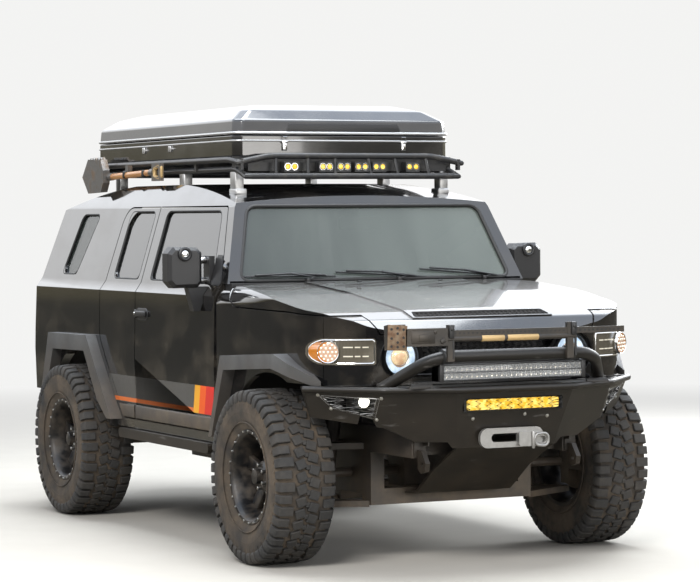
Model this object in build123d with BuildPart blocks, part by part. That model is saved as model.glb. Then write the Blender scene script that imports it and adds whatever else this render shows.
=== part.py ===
from build123d import *
from math import cos, radians, sin
import os

os.makedirs("parts", exist_ok=True)

# Driving dimensions, in millimetres. Stations y run rearwards from the front axle.
WHEELBASE = 2690
TRACK = 1800
TYRE_RADIUS = 440
TYRE_WIDTH = 315
RIM_RADIUS = 222
NOSE_END = -950
TAIL_END = 3775
FRONT_AXLE = -(NOSE_END + TAIL_END) / 2
WHEEL_X = TRACK / 2
WALL = 55
GLASS = 6
GAP = 8
ROOF_LINE = 1800
BELT = 1392
FLOOR_TOP = 680
LOAD_FLOOR = 800
ARCH_RADIUS = 530


def side(x):
    """Plane seen from the vehicle's side: local x is the station, local y the height."""
    return Plane(origin=(x, FRONT_AXLE, 0), x_dir=(0, 1, 0), z_dir=(1, 0, 0))


def cross(y):
    """Plane seen from the front at station y: local x is the width, local y the height."""
    return Plane(origin=(0, FRONT_AXLE + y, 0), x_dir=(1, 0, 0), z_dir=(0, -1, 0))


def level(z):
    """Plane seen from above at height z: local x is the width, local y the station."""
    return Plane(origin=(0, FRONT_AXLE, z))


def outline(points):
    """Closed outline from rows of (across, up, corner radius)."""
    with BuildSketch() as shape:
        with BuildLine():
            Polyline(*[(row[0], row[1]) for row in points], close=True)
        make_face()
        for across, up, radius in points:
            if radius:
                fillet(shape.vertices().sort_by_distance((across, up))[0], radius)
    return shape.sketch


def plain(points):
    """Rows of (across, up) with sharp corners, as outline wants them."""
    return [(across, up, 0) for across, up in points]


def side_block(points, x_low, x_high):
    """Side outline carried across the vehicle from x_low to x_high."""
    with BuildPart() as block:
        with BuildSketch(side(x_low)):
            add(outline(points))
        extrude(amount=x_high - x_low)
    return block.part


def cross_block(points, y_front, y_rear):
    """Front outline carried along the vehicle from y_front to y_rear."""
    with BuildPart() as block:
        with BuildSketch(cross(y_rear)):
            add(outline(points))
        extrude(amount=y_rear - y_front)
    return block.part


def level_block(points, z_low, z_high):
    """Plan outline carried upwards from z_low to z_high."""
    with BuildPart() as block:
        with BuildSketch(level(z_low)):
            add(outline(points))
        extrude(amount=z_high - z_low)
    return block.part


def box(x, y, z):
    """Block given by its (low, high) pairs in width, station and height."""
    with BuildPart() as block:
        with BuildSketch(level(z[0])):
            with Locations(((x[0] + x[1]) / 2, (y[0] + y[1]) / 2)):
                Rectangle(x[1] - x[0], y[1] - y[0])
        extrude(amount=z[1] - z[0])
    return block.part


def bent(points, reach):
    """Route whose corners are cut into short straight runs, as the bend of a pipe is."""
    route = [Vector(*points[0])]
    for before, corner, after in zip(points, points[1:], points[2:]):
        middle = Vector(*corner)
        back = (Vector(*before) - middle).normalized() * reach
        ahead = (Vector(*after) - middle).normalized() * reach
        route += [middle + back, middle + (back + ahead) * 0.3, middle + ahead]
    return route + [Vector(*points[-1])]


def tube(points, radius, sides=10):
    """Bar with flat sides along points given as (x, station, height), mitred at its corners."""
    with BuildPart() as bar:
        with BuildLine() as path:
            Polyline(*[Vector(x, FRONT_AXLE + y, z) for x, y, z in points])
        start = path.line
        with BuildSketch(Plane(origin=start @ 0, z_dir=start % 0)):
            RegularPolygon(radius, sides)
        sweep(path=start, transition=Transition.RIGHT)
    return bar.part


def rod(start, end, radius):
    """Straight bar between two points given as (x, station, height)."""
    return tube([start, end], radius)


def both_sides(shape):
    """Shape and its mirror image in the vehicle's middle plane."""
    return [shape, mirror(shape, about=Plane.YZ)]


# Cabin form: walls, screen rake and crowned roof, moved inwards by inset.
CABIN_SECTION = ((0, 300), (908, 300), (930, 950), (922, 1325), (886, 1378), (762, 1790), (738, 1832),
                 (640, 1990), (0, 1990))
CABIN_SIDE = plain(((640, 300), (640, 1390), (579, 1390), (809, 1920), (3296, 1920), (3425, 1350),
                    (3440, 1080), (3440, 300)))
ROOF_PEAK = (1980, 1932)
ROOF_RADIUS = 6700
ROOF_CROWN = 26


def cabin_form(inset):
    with BuildPart() as form:
        with BuildSketch(cross(3600)):
            with BuildLine():
                right = Polyline(*CABIN_SECTION)
                mirror(right, about=Plane.YZ)
            make_face()
            if inset:
                offset(amount=-inset, kind=Kind.INTERSECTION)
        extrude(amount=3200)
        with BuildSketch(side(0)):
            add(outline(CABIN_SIDE))
            if inset:
                offset(amount=-inset, kind=Kind.INTERSECTION)
        extrude(amount=1100, both=True, mode=Mode.INTERSECT)
        with BuildSketch(cross(ROOF_PEAK[0])):
            with BuildLine():
                edge = ROOF_PEAK[1] - 1.3 * ROOF_CROWN - inset
                crown = ThreePointArc((-1000, edge), (0, ROOF_PEAK[1] + ROOF_CROWN - inset), (1000, edge))
                Polyline(crown @ 1, (1000, 200), (-1000, 200), crown @ 0)
            make_face()
        axle = Axis((0, FRONT_AXLE + ROOF_PEAK[0], ROOF_PEAK[1] - ROOF_RADIUS), (1, 0, 0))
        revolve(axis=axle, revolution_arc=360, mode=Mode.INTERSECT)
    return form.part


outer_form = cabin_form(0)
inner_form = cabin_form(WALL)
cabin_shell = outer_form - inner_form
glass_layer = cabin_form(14) - cabin_form(14 + GLASS)

# Openings seen from the side, as (station, height, corner radius).
DOOR_TOP = ROOF_LINE - GAP / 2
FRONT_DOOR = ((654, 612, 25), (1784, 612, 12), (1784, DOOR_TOP, 12), (838, DOOR_TOP, 30),
              (658, 1384, 20))
REAR_DOOR = ((1784, 612, 12), (1975, 612, 30), (2338, 1060, 120), (2342, 1300, 60),
             (2300, DOOR_TOP, 110), (1784, DOOR_TOP, 12))
FRONT_WINDOW = ((778, BELT, 25), (1668, BELT, 25), (1668, 1772, 40), (900, 1772, 45))
REAR_WINDOW = ((1836, BELT, 25), (2228, BELT, 60), (2212, 1772, 120), (1836, 1772, 40))
QUARTER_WINDOW = ((2846, 1404, 30), (3090, 1404, 60), (2990, 1758, 60), (2700, 1758, 30))
# Openings seen from the front or rear, as (width, height, corner radius).
WINDSCREEN = ((-806, 1404, 40), (806, 1404, 40), (690, 1796, 40), (-690, 1796, 40))
TAILGATE = ((-690, 700, 30), (690, 700, 30), (672, 1360, 20), (600, DOOR_TOP, 20),
            (-600, DOOR_TOP, 20), (-672, 1360, 20))
REAR_SCREEN = ((-520, 1400, 60), (520, 1400, 60), (470, 1745, 60), (-470, 1745, 60))


def shrunk(points, gap):
    """Outline moved inwards by a panel gap."""
    with BuildSketch() as shape:
        add(outline(points))
        offset(amount=-gap)
    return shape.sketch


def prism(points, plane, depth, gap):
    """Outline moved inwards by a gap, carried along the plane's normal."""
    with BuildPart() as piece:
        with BuildSketch(plane):
            add(shrunk(points, gap))
        extrude(amount=depth)
    return piece.part


def pane(points, plane, depth):
    """Glass filling an outline in the cabin wall."""
    with BuildPart() as piece:
        with BuildSketch(plane):
            add(outline(points))
        extrude(amount=depth)
    return glass_layer & piece.part


# Body sides: pillars, sill, rear quarter and its arch, one pressing on each side.
with BuildPart() as body_sides:
    add(cabin_shell & box((500, 1000), (400, 3600), (560, ROOF_LINE)))
    add(cross_block(WINDSCREEN, 400, 1000), mode=Mode.SUBTRACT)
    add(box((0, 867), (400, 700), (500, 1404)), mode=Mode.SUBTRACT)
    add(prism(TAILGATE, cross(3600), 400, -GAP / 2), mode=Mode.SUBTRACT)
    add(box((0, 694), (3300, 3600), (500, 701)), mode=Mode.SUBTRACT)
    add(prism(FRONT_DOOR, side(600), 400, -GAP / 2), mode=Mode.SUBTRACT)
    add(prism(REAR_DOOR, side(600), 400, -GAP / 2), mode=Mode.SUBTRACT)
    add(box((880, 1000), (600, 652), (500, 1386)), mode=Mode.SUBTRACT)
    add(side_block(QUARTER_WINDOW, 600, 1000), mode=Mode.SUBTRACT)
    with BuildSketch(side(600)):
        with Locations((WHEELBASE, TYRE_RADIUS)):
            Circle(ARCH_RADIUS)
    extrude(amount=400, mode=Mode.SUBTRACT)
    add(side_block(plain(((2080, 500), (3500, 500), (3500, 700), (2080, 700))), 600, 1000), mode=Mode.SUBTRACT)
    mirror(about=Plane.YZ)
body_sides.part.label = "body_sides"
export_step(body_sides.part, "parts/body_sides.step")

# Roof panel: the crowned skin above the drip line, with the windscreen header.
with BuildPart() as roof_panel:
    add(cabin_shell & box((-1000, 1000), (400, 3600), (ROOF_LINE, 2000)))
roof_panel.part.label = "roof_panel"
export_step(roof_panel.part, "parts/roof_panel.step")

# Cab tub: floor, tunnel, kicked-up load floor, firewall with cowl, rear sill and wheel houses.
TUB_SIDE = plain(((641, 630), (1940, 630), (2250, 750), (3366, 750), (3366, 640), (3426, 640),
                  (3426, 694), (3380, 694), (3380, LOAD_FLOOR), (2220, LOAD_FLOOR), (1920, FLOOR_TOP),
                  (700, FLOOR_TOP), (700, 1340), (760, 1385), (730, 1402), (560, 1392), (560, 1362),
                  (641, 1340)))
TUNNEL = ((660, 1450), 190, 800)
WHEELHOUSE_X = 690
SHEET = 25
cabin_sides = [cabin_shell & side for side in both_sides(box((500, 1000), (700, 3600), (300, 1700)))]
hinge_pillars = both_sides(box((846, 1000), (652, 720), (300, 1340)))
with BuildPart() as cab_tub:
    add(side_block(TUB_SIDE, -866, 866))
    add(box((-TUNNEL[1], TUNNEL[1]), TUNNEL[0], (640, TUNNEL[2])))
    add(box((-TUNNEL[1] + SHEET, TUNNEL[1] - SHEET), (600, TUNNEL[0][1] - SHEET), (600, TUNNEL[2] - SHEET)),
        mode=Mode.SUBTRACT)
    for hand in (-1, 1):
        with BuildSketch(side(hand * (WHEELHOUSE_X - SHEET))):
            with Locations((WHEELBASE, TYRE_RADIUS + 20)):
                Circle(ARCH_RADIUS + SHEET)
            with Locations((WHEELBASE, 200)):
                Rectangle(1400, 1100, mode=Mode.SUBTRACT)
        extrude(amount=hand * 240)
        with BuildSketch(side(hand * WHEELHOUSE_X)):
            with Locations((WHEELBASE, TYRE_RADIUS + 20)):
                Circle(ARCH_RADIUS)
        extrude(amount=hand * 300, mode=Mode.SUBTRACT)
    for shape in cabin_sides + hinge_pillars:
        add(shape, mode=Mode.SUBTRACT)
    add(box((-1000, 1000), (3300, 3600), (300, 639)), mode=Mode.SUBTRACT)
cab_tub.part.label = "cab_tub"
export_step(cab_tub.part, "parts/cab_tub.step")

# Fixed glass: windscreen and the two quarter windows.
with BuildPart() as fixed_glass:
    add(pane(WINDSCREEN, cross(1000), 600))
    add(both_sides(pane(QUARTER_WINDOW, side(600), 400)))
fixed_glass.part.label = "fixed_glass"
export_step(fixed_glass.part, "parts/fixed_glass.step")

# Doors: front ones hinged at the A pillar, rear ones at their rear edge, with sill cladding and glass.
FRONT_CLADDING = plain(((664, 618), (1776, 618), (1776, 690), (664, 690)))
REAR_CLADDING = plain(((1792, 618), (1966, 618), (2026, 690), (1792, 690)))
CLADDING_X = (890, 930)
for door, window, strip, place in ((FRONT_DOOR, FRONT_WINDOW, FRONT_CLADDING, "front"),
                                   (REAR_DOOR, REAR_WINDOW, REAR_CLADDING, "rear")):
    with BuildPart() as door_left:
        add(cabin_shell & prism(door, side(600), 400, GAP / 2))
        add(box((0, 866), (600, 700), (500, 1404)), mode=Mode.SUBTRACT)
        add(side_block(strip, *CLADDING_X))
        add(side_block(window, 600, 1000), mode=Mode.SUBTRACT)
    with BuildPart() as door_right:
        add(mirror(door_left.part, about=Plane.YZ))
    with BuildPart() as glass_left:
        add(pane(window, side(600), 400))
    with BuildPart() as glass_right:
        add(mirror(glass_left.part, about=Plane.YZ))
    for hand, leaf, light in (("left", door_left, glass_left), ("right", door_right, glass_right)):
        leaf.part.label = "door_" + place + "_" + hand
        export_step(leaf.part, "parts/" + leaf.part.label + ".step")
        light.part.label = "door_glass_" + place + "_" + hand
        export_step(light.part, "parts/" + light.part.label + ".step")

# Mirrors: tall towing heads on two arms from the front doors.
with BuildPart() as mirror_left:
    with BuildSketch(cross(880)):
        add(outline(plain(((956, 1370), (1092, 1367), (1125, 1402), (1125, 1550), (1092, 1585), (962, 1581),
                           (932, 1552), (932, 1396)))))
    extrude(amount=92)
    chamfer(mirror_left.faces().sort_by(Axis.Y)[0].edges(), 18)
    add(box((880, 960), (835, 865), (1392, 1416)))
    add(box((862, 960), (835, 865), (1500, 1524)))
    add(box((858, 890), (800, 880), (1385, 1535)))
    add(cross_block(plain(((890, 1374), (1010, 1374), (974, 1244), (938, 1244))), 812, 868))
    add(cabin_form(0), mode=Mode.SUBTRACT)
with BuildPart() as mirror_right:
    add(mirror(mirror_left.part, about=Plane.YZ))
for hand, head in (("left", mirror_left), ("right", mirror_right)):
    head.part.label = "mirror_" + hand
    export_step(head.part, "parts/" + head.part.label + ".step")

# Tailgate: side-hinged, with its own glass and the spare wheel bracket.
SPARE = (0, 3462 + TYRE_WIDTH / 2 - 2, 1080)
with BuildPart() as tailgate:
    add(cabin_shell & prism(TAILGATE, cross(3600), 300, GAP / 2))
    add(cross_block(REAR_SCREEN, 3300, 3600), mode=Mode.SUBTRACT)
    with BuildSketch(cross(SPARE[1] - 20.5)):
        with Locations((SPARE[0], SPARE[2])):
            Rectangle(220, 220)
    extrude(amount=160)
tailgate.part.label = "tailgate"
export_step(tailgate.part, "parts/tailgate.step")
with BuildPart() as tailgate_glass:
    add(pane(REAR_SCREEN, cross(3600), 400))
tailgate_glass.part.label = "tailgate_glass"
export_step(tailgate_glass.part, "parts/tailgate_glass.step")

# Nose form: fenders, hood and fascia come from one shape, moved inwards by inset.
NOSE_SIDE = ((650, 300, 0), (650, 1388, 0), (548, 1392, 0), (60, 1345, 300), (-470, 1268, 200),
             (-572, 1232, 60), (-650, 1150, 40), (-668, 1060, 0), (-668, 300, 0))
NOSE_PLAN = ((925, 700), (918, 60), (900, -260))


def nose_form(inset):
    with BuildPart() as form:
        with BuildSketch(level(300)):
            with BuildLine():
                flank = Polyline(*NOSE_PLAN)
                corner = ThreePointArc(flank @ 1, (820, -490), (600, -610))
                front = ThreePointArc(corner @ 1, (300, -655), (0, -668))
                mirror(about=Plane.YZ)
                Line((925, 700), (-925, 700))
            make_face()
            if inset:
                offset(amount=-inset, kind=Kind.INTERSECTION)
        extrude(amount=1300)
        with BuildSketch(side(0)):
            add(outline(NOSE_SIDE))
            if inset:
                offset(amount=-inset, kind=Kind.INTERSECTION)
        extrude(amount=1000, both=True, mode=Mode.INTERSECT)
        with BuildSketch(cross(700)):
            with BuildLine():
                shoulder = Polyline((0, 300), (925 - inset, 300), (925 - inset, 1262 - inset))
                bend = ThreePointArc(shoulder @ 1, (908 - inset, 1330 - inset), (850 - inset, 1382 - inset))
                ThreePointArc(bend @ 1, (430, 1399 - inset), (0, 1404 - inset))
                mirror(about=Plane.YZ)
            make_face()
        extrude(amount=1500, mode=Mode.INTERSECT)
    return form.part


NOSE_WALL = 30
nose_outer = nose_form(0)
nose_inner = nose_form(NOSE_WALL)
nose_shell = nose_outer - nose_inner
CORNER_LAMP = ((615, 1016, 16), (884, 1016, 55), (884, 1146, 55), (615, 1146, 16))
corner_lamp = nose_shell & cross_block(CORNER_LAMP, -660, -300)
HOOD_SEAM = plain(((-800, 1243), (-200, 1272), (400, 1281), (470, 1320), (540, 1386), (540, 1500), (-800, 1500)))
HOOD_LIP = plain(((-592, 1166), (592, 1166), (640, 1250), (640, 1290), (-640, 1290), (-640, 1250)))
VENT_PLAN = ((-384, -566, 12), (384, -566, 12), (366, -498, 12), (-366, -498, 12))

with BuildPart() as vent_slats:
    with BuildSketch(level(1150)):
        with GridLocations(0, 17, 1, 3):
            with Locations((0, -532)):
                Rectangle(760, 5)
        with GridLocations(62, 0, 11, 1):
            with Locations((0, -532)):
                Rectangle(5, 64)
    extrude(amount=200)
vent_mesh = vent_slats.part
hood_region = side_block(HOOD_SEAM, -1000, 1000) + cross_block(HOOD_LIP, -800, -470)
HOOD_CREST = plain(((-392, -572), (392, -572), (452, 300), (470, 520), (-470, 520), (-452, 300)))
CREST = 8
with BuildPart() as hood:
    add(nose_shell & hood_region)
    add((nose_form(-CREST) - nose_form(1)) & level_block(HOOD_CREST, 1150, 1500) & hood_region)
    add(level_block(VENT_PLAN, 1150, 1400), mode=Mode.SUBTRACT)
    add(vent_mesh & (nose_form(4) - nose_form(12)))
hood.part.label = "hood"
export_step(hood.part, "parts/hood.step")

# Front fenders: flank and shoulder outside the hood seam, with the wheel arch cut through.
ARCH_STEER = 520
with BuildPart() as front_fenders:
    add(nose_shell & box((300, 1000), (-470, 632), (560, 1500)))
    with BuildSketch(side(0)):
        add(shrunk(HOOD_SEAM, -GAP))
    extrude(amount=1000, mode=Mode.SUBTRACT)
    add(box((0, 888), (534, 660), (500, 1600)), mode=Mode.SUBTRACT)
    with BuildSketch(side(300)):
        with Locations((0, TYRE_RADIUS)):
            Circle(ARCH_STEER)
        with Locations((0, 300)):
            Rectangle(1048, 600)
        with Locations((-400, 700)):
            Rectangle(800, 440)
    extrude(amount=800, mode=Mode.SUBTRACT)
    add(corner_lamp, mode=Mode.SUBTRACT)
    mirror(about=Plane.YZ)
front_fenders.part.label = "front_fenders"
export_step(front_fenders.part, "parts/front_fenders.step")

# Fascia: the nose between the fenders, with one rounded opening for grille and headlamps.
GRILLE_OPENING = ((-592, 948, 95), (592, 948, 95), (592, 1152, 95), (-592, 1152, 95))
FASCIA_LOW = 916
with BuildPart() as front_fascia:
    add(nose_shell & box((-1000, 1000), (-800, -474), (FASCIA_LOW, 1600)))
    add(side_block(plain(((-800, 1235), (-470, 1252), (-470, 1700), (-800, 1700))), -1000, 1000),
        mode=Mode.SUBTRACT)
    with BuildSketch(cross(-470)):
        add(shrunk(HOOD_LIP, -GAP))
    extrude(amount=330, mode=Mode.SUBTRACT)
    add(cross_block(GRILLE_OPENING, -800, -500), mode=Mode.SUBTRACT)
    for shape in both_sides(corner_lamp):
        add(shape, mode=Mode.SUBTRACT)
front_fascia.part.label = "front_fascia"
export_step(front_fascia.part, "parts/front_fascia.step")

# Grille: mesh panel behind the opening, with a round bezel for each headlamp.
HEADLAMP = (480, 1050, 80)
LAMP_SIDES = 28
MESH_CELL = (92, 52)
MESH_HOLE = ((-40, 0), (0, -21), (40, 0), (0, 21))
with BuildPart() as grille:
    with BuildSketch(cross(-535)):
        add(outline(((-648, 944, 60), (648, 944, 60), (648, 1156, 70), (-648, 1156, 70))))
        for across, up, columns, rows in ((0, 0, 8, 3), (0, 0, 7, 4)):
            with Locations((across, HEADLAMP[1] + up)):
                with GridLocations(*MESH_CELL, columns, rows):
                    Polygon(*MESH_HOLE, align=None, mode=Mode.SUBTRACT)
        with Locations((HEADLAMP[0], HEADLAMP[1]), (-HEADLAMP[0], HEADLAMP[1])):
            RegularPolygon(HEADLAMP[2] + 22, LAMP_SIDES)
            RegularPolygon(HEADLAMP[2], LAMP_SIDES, mode=Mode.SUBTRACT)
    extrude(amount=20)
grille.part.label = "grille"
export_step(grille.part, "parts/grille.step")

# Lamps: round headlamps, corner lamps with their round marker, and the tail lamp pods.
MARKER = Plane(origin=(829, FRONT_AXLE - 515, 1081), z_dir=(-0.53, 0.85, 0))
with BuildPart() as lamps:
    with BuildSketch(cross(-520)):
        with Locations((HEADLAMP[0], HEADLAMP[1])):
            RegularPolygon(HEADLAMP[2] - 1, LAMP_SIDES)
    extrude(amount=70)
    add(corner_lamp)
    with BuildSketch(MARKER):
        RegularPolygon(54, LAMP_SIDES)
    extrude(amount=48)
    add(box((700, 862), (3380, 3470), (1130, 1340)) - outer_form)
    mirror(about=Plane.YZ)
lamps.part.label = "lamps"
export_step(lamps.part, "parts/lamps.step")

# Chassis: two box rails that kick up over the rear axle, joined by cross members.
RAIL_X = 385
RAIL_WIDTH = 75
RAIL_DEPTH = 130
RAIL_LINE = ((-680, 560), (350, 560), (520, 500), (1950, 500), (2300, 590), (3330, 590))
# Cross members as (station, bottom, top).
CROSS_MEMBERS = ((-600, 565, 645), (-330, 565, 645), (900, 525, 580), (1850, 575, 630), (2400, 600, 680),
                 (3180, 600, 680))
with BuildPart() as chassis_frame:
    with BuildSketch(side(RAIL_X)):
        Polygon(*RAIL_LINE, *[(y, z + RAIL_DEPTH) for y, z in reversed(RAIL_LINE)], align=None)
    extrude(amount=RAIL_WIDTH)
    for station, low, high in CROSS_MEMBERS:
        add(box((0, RAIL_X), (station, station + 90), (low, high)))
    add(box((RAIL_X + RAIL_WIDTH, 530), (1925, 1968), (500, 560)))
    add(box((RAIL_X + RAIL_WIDTH, 530), (2870, 2930), (695, 720)))
    for station in (2350, 2850, 3230):
        add(box((RAIL_X, RAIL_X + RAIL_WIDTH), (station, station + 80), (715, 750)))
    mirror(about=Plane.YZ)
chassis_frame.part.label = "chassis_frame"
export_step(chassis_frame.part, "parts/chassis_frame.step")

# Front bumper: folded plate with swept wings, a skid plate below and the hoop welded on top.
BUMPER_TOP = ((-925, -431), (-640, -740), (-327, -900), (327, -900), (640, -740), (925, -431))
BUMPER_FOOT = ((-826.5, -370), (-590, -626.4), (-270, -790), (270, -790), (590, -626.4), (826.5, -370))
BUMPER_FRONT = ((-390, 609), (390, 609), (600, 711), (905, 765), (1000, 800), (1000, 912), (-1000, 912),
                (-1000, 800), (-905, 765), (-600, 711))
BUMPER_HEIGHT = (609, 912)
BUMPER_BACK = -395
PLATE = 10
HOOP = 30
HOOP_PATH = ((-611, -660, 905), (-600, -745, 1058), (-444, -889, 1062), (444, -889, 1062), (600, -745, 1058),
             (611, -660, 905))
LIGHT_SLOT = ((-275, 788, 12), (275, 788, 12), (275, 856, 12), (-275, 856, 12))
FAIRLEAD_SLOT = ((-115, 635, 20), (115, 635, 20), (115, 677, 20), (-115, 677, 20))
POCKET = ((655, 862, 8), (852, 862, 8), (800, 812, 8), (655, 768, 8))
TOP_TUBE = 15
RECOVERY_BORE = (-736, 530, 13)
RECOVERY_X = RAIL_X + 38


def bumper_form(inset):
    with BuildPart() as form:
        for height, points in zip(BUMPER_HEIGHT, (BUMPER_FOOT, BUMPER_TOP)):
            back = ((points[-1][0], BUMPER_BACK + 200), (points[0][0], BUMPER_BACK + 200))
            with BuildSketch(level(height - (inset if height > 700 else -inset))):
                add(outline(plain(points + back)))
                if inset:
                    offset(amount=-inset, kind=Kind.INTERSECTION)
        loft(ruled=True)
    return form.part


with BuildPart() as front_bumper:
    add(bumper_form(0) & cross_block(plain(BUMPER_FRONT), -1000, -200))
    add(bumper_form(PLATE), mode=Mode.SUBTRACT)
    add(box((-1000, 1000), (BUMPER_BACK, -100), (400, 1000)), mode=Mode.SUBTRACT)
    add(box((-700, 700), (-640, -100), (400, 1000)), mode=Mode.SUBTRACT)
    add(box((-500, 500), (-780, -300), (600, 640)), mode=Mode.SUBTRACT)
    add(cross_block(LIGHT_SLOT, -1000, -820), mode=Mode.SUBTRACT)
    add(cross_block(FAIRLEAD_SLOT, -1000, -780), mode=Mode.SUBTRACT)
    for shape in both_sides(cross_block(POCKET, -760, -396)):
        add(shape, mode=Mode.SUBTRACT)
    bracket = box((RAIL_X + 8, RAIL_X + 68), (-690, -680), (565, 690))
    web = box((RAIL_X + 8, RAIL_X + 16), (-736, -690), (621, 690))
    tab = side_block(plain(((-690, 600), (-728, 600), (-775, 540), (-765, 500), (-720, 488), (-690, 510))),
                     RECOVERY_X - 12.5, RECOVERY_X + 12.5)
    for shape in both_sides(bracket) + both_sides(web) + both_sides(tab):
        add(shape)
    add(side_block(plain(((-788, 609), (-788, 620), (-545, 500), (-345, 362), (-230, 352), (-230, 342),
                          (-352, 350), (-555, 490))), -270, 270))
    add(tube(bent(HOOP_PATH, 60), HOOP, 12))
    add(tube([(x, y, BUMPER_HEIGHT[1] - 13) for x, y in BUMPER_TOP], TOP_TUBE, 8))
    for shape in both_sides(cross_block(plain(((430, 908), (560, 908), (470, 1045), (430, 1045))), -846, -836)):
        add(shape)
    with BuildSketch(side(-600)):
        with Locations(RECOVERY_BORE[:2]):
            Circle(RECOVERY_BORE[2])
    extrude(amount=1200, mode=Mode.SUBTRACT)
front_bumper.part.label = "front_bumper"
export_step(front_bumper.part, "parts/front_bumper.step")

# Fairlead: cast plate with a rounded slot and the flat rope link in front of it.
with BuildPart() as fairlead:
    with BuildSketch(cross(-832)):
        add(outline(((-176, 608, 42), (176, 608, 42), (176, 704, 42), (-176, 704, 42))))
        with Locations((0, 656)):
            SlotOverall(230, 42, mode=Mode.SUBTRACT)
    extrude(amount=22)
    with BuildSketch(cross(-842)):
        add(outline(((28, 614, 12), (192, 606, 34), (192, 676, 34), (28, 684, 12))))
        with Locations((150, 642)):
            SlotOverall(56, 34, mode=Mode.SUBTRACT)
    extrude(amount=34)
fairlead.part.label = "fairlead"
export_step(fairlead.part, "parts/fairlead.step")

# Auxiliary lights: bar under the hoop, bar in the bumper, two pods and six on the roof rack.
ROOF_LAMPS = ((-368, 897), (-161, 893), (-54, 893), (54, 893), (161, 893), (368, 897))
with BuildPart() as auxiliary_lights:
    add(box((-407, 407), (-858, -790), (942, 1022)))
    add(box((-262, 262), (-862, -840), (792, 852)))
    for shape in both_sides(box((640, 705), (-585, -530), (806, 868)) + box((701, 716), (-580, -560), (840, 902))):
        add(shape)
    for x, station in ROOF_LAMPS:
        add(box((x - 42, x + 42), (station - 8, station + 44), (1980, 2035)))
auxiliary_lights.part.label = "auxiliary_lights"
export_step(auxiliary_lights.part, "parts/auxiliary_lights.step")

# Lever jack: toothed bar across the hoop with its foot plate, runner and handle, on two clamps.
JACK_LINE = (-930, 1176)
with BuildPart() as lever_jack:
    add(box((-660, 590), (-938, -924), (1160, 1190)))
    add(side_block(plain(((-946, 1108), (-912, 1102), (-906, 1218), (-940, 1224))), -723, -625))
    add(box((-628, -403), (NOSE_END, -904), (1118, 1202)))
    add(rod((-470, -930, 1148), (310, -930, 1148), 14))
    for x in (-379, 282):
        add(box((x - 18, x + 18), (-940, -920), (1040, 1216)))
lever_jack.part.label = "lever_jack"
export_step(lever_jack.part, "parts/lever_jack.step")

# Fender flares: flat-topped arches, front pair and rear pair.
FLARES = (
    (((440, 1028), (-200, 1062), (-500, 938), (-500, 916), (-440, 916), (-180, 990), (400, 955), (545, 640),
      (560, 600), (600, 600)), 862),
    (((2400, 1062), (3040, 1056), (3170, 700), (3080, 700), (2960, 962), (2440, 970), (2230, 700),
      (2080, 600), (2010, 600)), 862),
)
# Their outer edge seen from above turns in with the corner of the nose.
FLARE_PLAN = plain(((700, 3300), (990, 3300), (990, -170), (950, -310), (880, -460), (850, -530), (700, -530)))
with BuildPart() as fender_flares:
    for points, x_low in FLARES:
        add((side_block(plain(points), x_low, 990) & level_block(FLARE_PLAN, 500, 1200)) - outer_form - nose_outer)
    mirror(about=Plane.YZ)
fender_flares.part.label = "fender_flares"
export_step(fender_flares.part, "parts/fender_flares.step")

# Rock sliders: a tube along each sill, on legs from the chassis rail.
with BuildPart() as rock_sliders:
    with BuildSketch(side(890)):
        add(outline(((700, 500, 20), (1990, 500, 20), (1990, 554, 20), (700, 554, 20))))
    extrude(amount=60)
    for station in (850, 1350, 1850):
        add(box((RAIL_X + RAIL_WIDTH, 892), (station, station + 40), (512, 550)))
    mirror(about=Plane.YZ)
rock_sliders.part.label = "rock_sliders"
export_step(rock_sliders.part, "parts/rock_sliders.step")

# Powertrain: engine as one block, gearbox, transfer case and the two propeller shafts.
with BuildPart() as powertrain:
    add(box((-280, 280), (-220, 420), (660, 1130)))
    add(side_block(plain(((420, 640), (420, 900), (600, 800), (640, 765), (1300, 740), (1300, 585), (640, 585))),
                   -140, 140))
    add(box((-260, 150), (1100, 1350), (440, 622)))
    add(rod((0, 1350, 530), (0, 2534, 470), 38))
    add(rod((-190, 1100, 490), (-190, 95, 450), 30))
powertrain.part.label = "powertrain"
export_step(powertrain.part, "parts/powertrain.step")

# Exhaust: pipe from the engine to a silencer and a tail pipe behind the rear wheel.
with BuildPart() as exhaust:
    add(tube(bent([(330, 300, 700), (330, 500, 480), (330, 1560, 470)], 60), 28))
    add(box((215, 375), (1560, 2080), (400, 520)))
exhaust.part.label = "exhaust"
export_step(exhaust.part, "parts/exhaust.step")

with BuildPart() as fuel_tank:
    add(box((-372, -120), (1400, 2200), (385, 500)))
fuel_tank.part.label = "fuel_tank"
export_step(fuel_tank.part, "parts/fuel_tank.step")

# Front suspension: wishbones, coil-over struts and the steering rack, all on the frame.
with BuildPart() as front_suspension:
    for height, station, reach in ((280, 150, 810), (567, 90, 810)):
        with BuildSketch(level(height)):
            Polygon((460, -station - 60), (reach, -28), (reach, 28), (460, station + 60),
                    (460, station), (620, 0), (460, -station), align=None)
        extrude(amount=31)
    add(rod((590, 60, 311), (500, 60, 880), 42))
    add(box((RAIL_X, 535), (20, 110), (690, 720)))
    add(box((470, 530), (25, 95), (720, 890)))
    add(box((0, RAIL_X + RAIL_WIDTH), (-230, -130), (290, 370)))
    add(box((0, RAIL_X + RAIL_WIDTH), (120, 220), (290, 370)))
    add(box((RAIL_X, RAIL_X + RAIL_WIDTH), (-230, 230), (340, 560)))
    add(box((0, 200), (-90, 92), (360, 520)))
    add(rod((190, 0, 440), (770, 0, 440), 24))
    mirror(about=Plane.YZ)
front_suspension.part.label = "front_suspension"
export_step(front_suspension.part, "parts/front_suspension.step")

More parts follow.
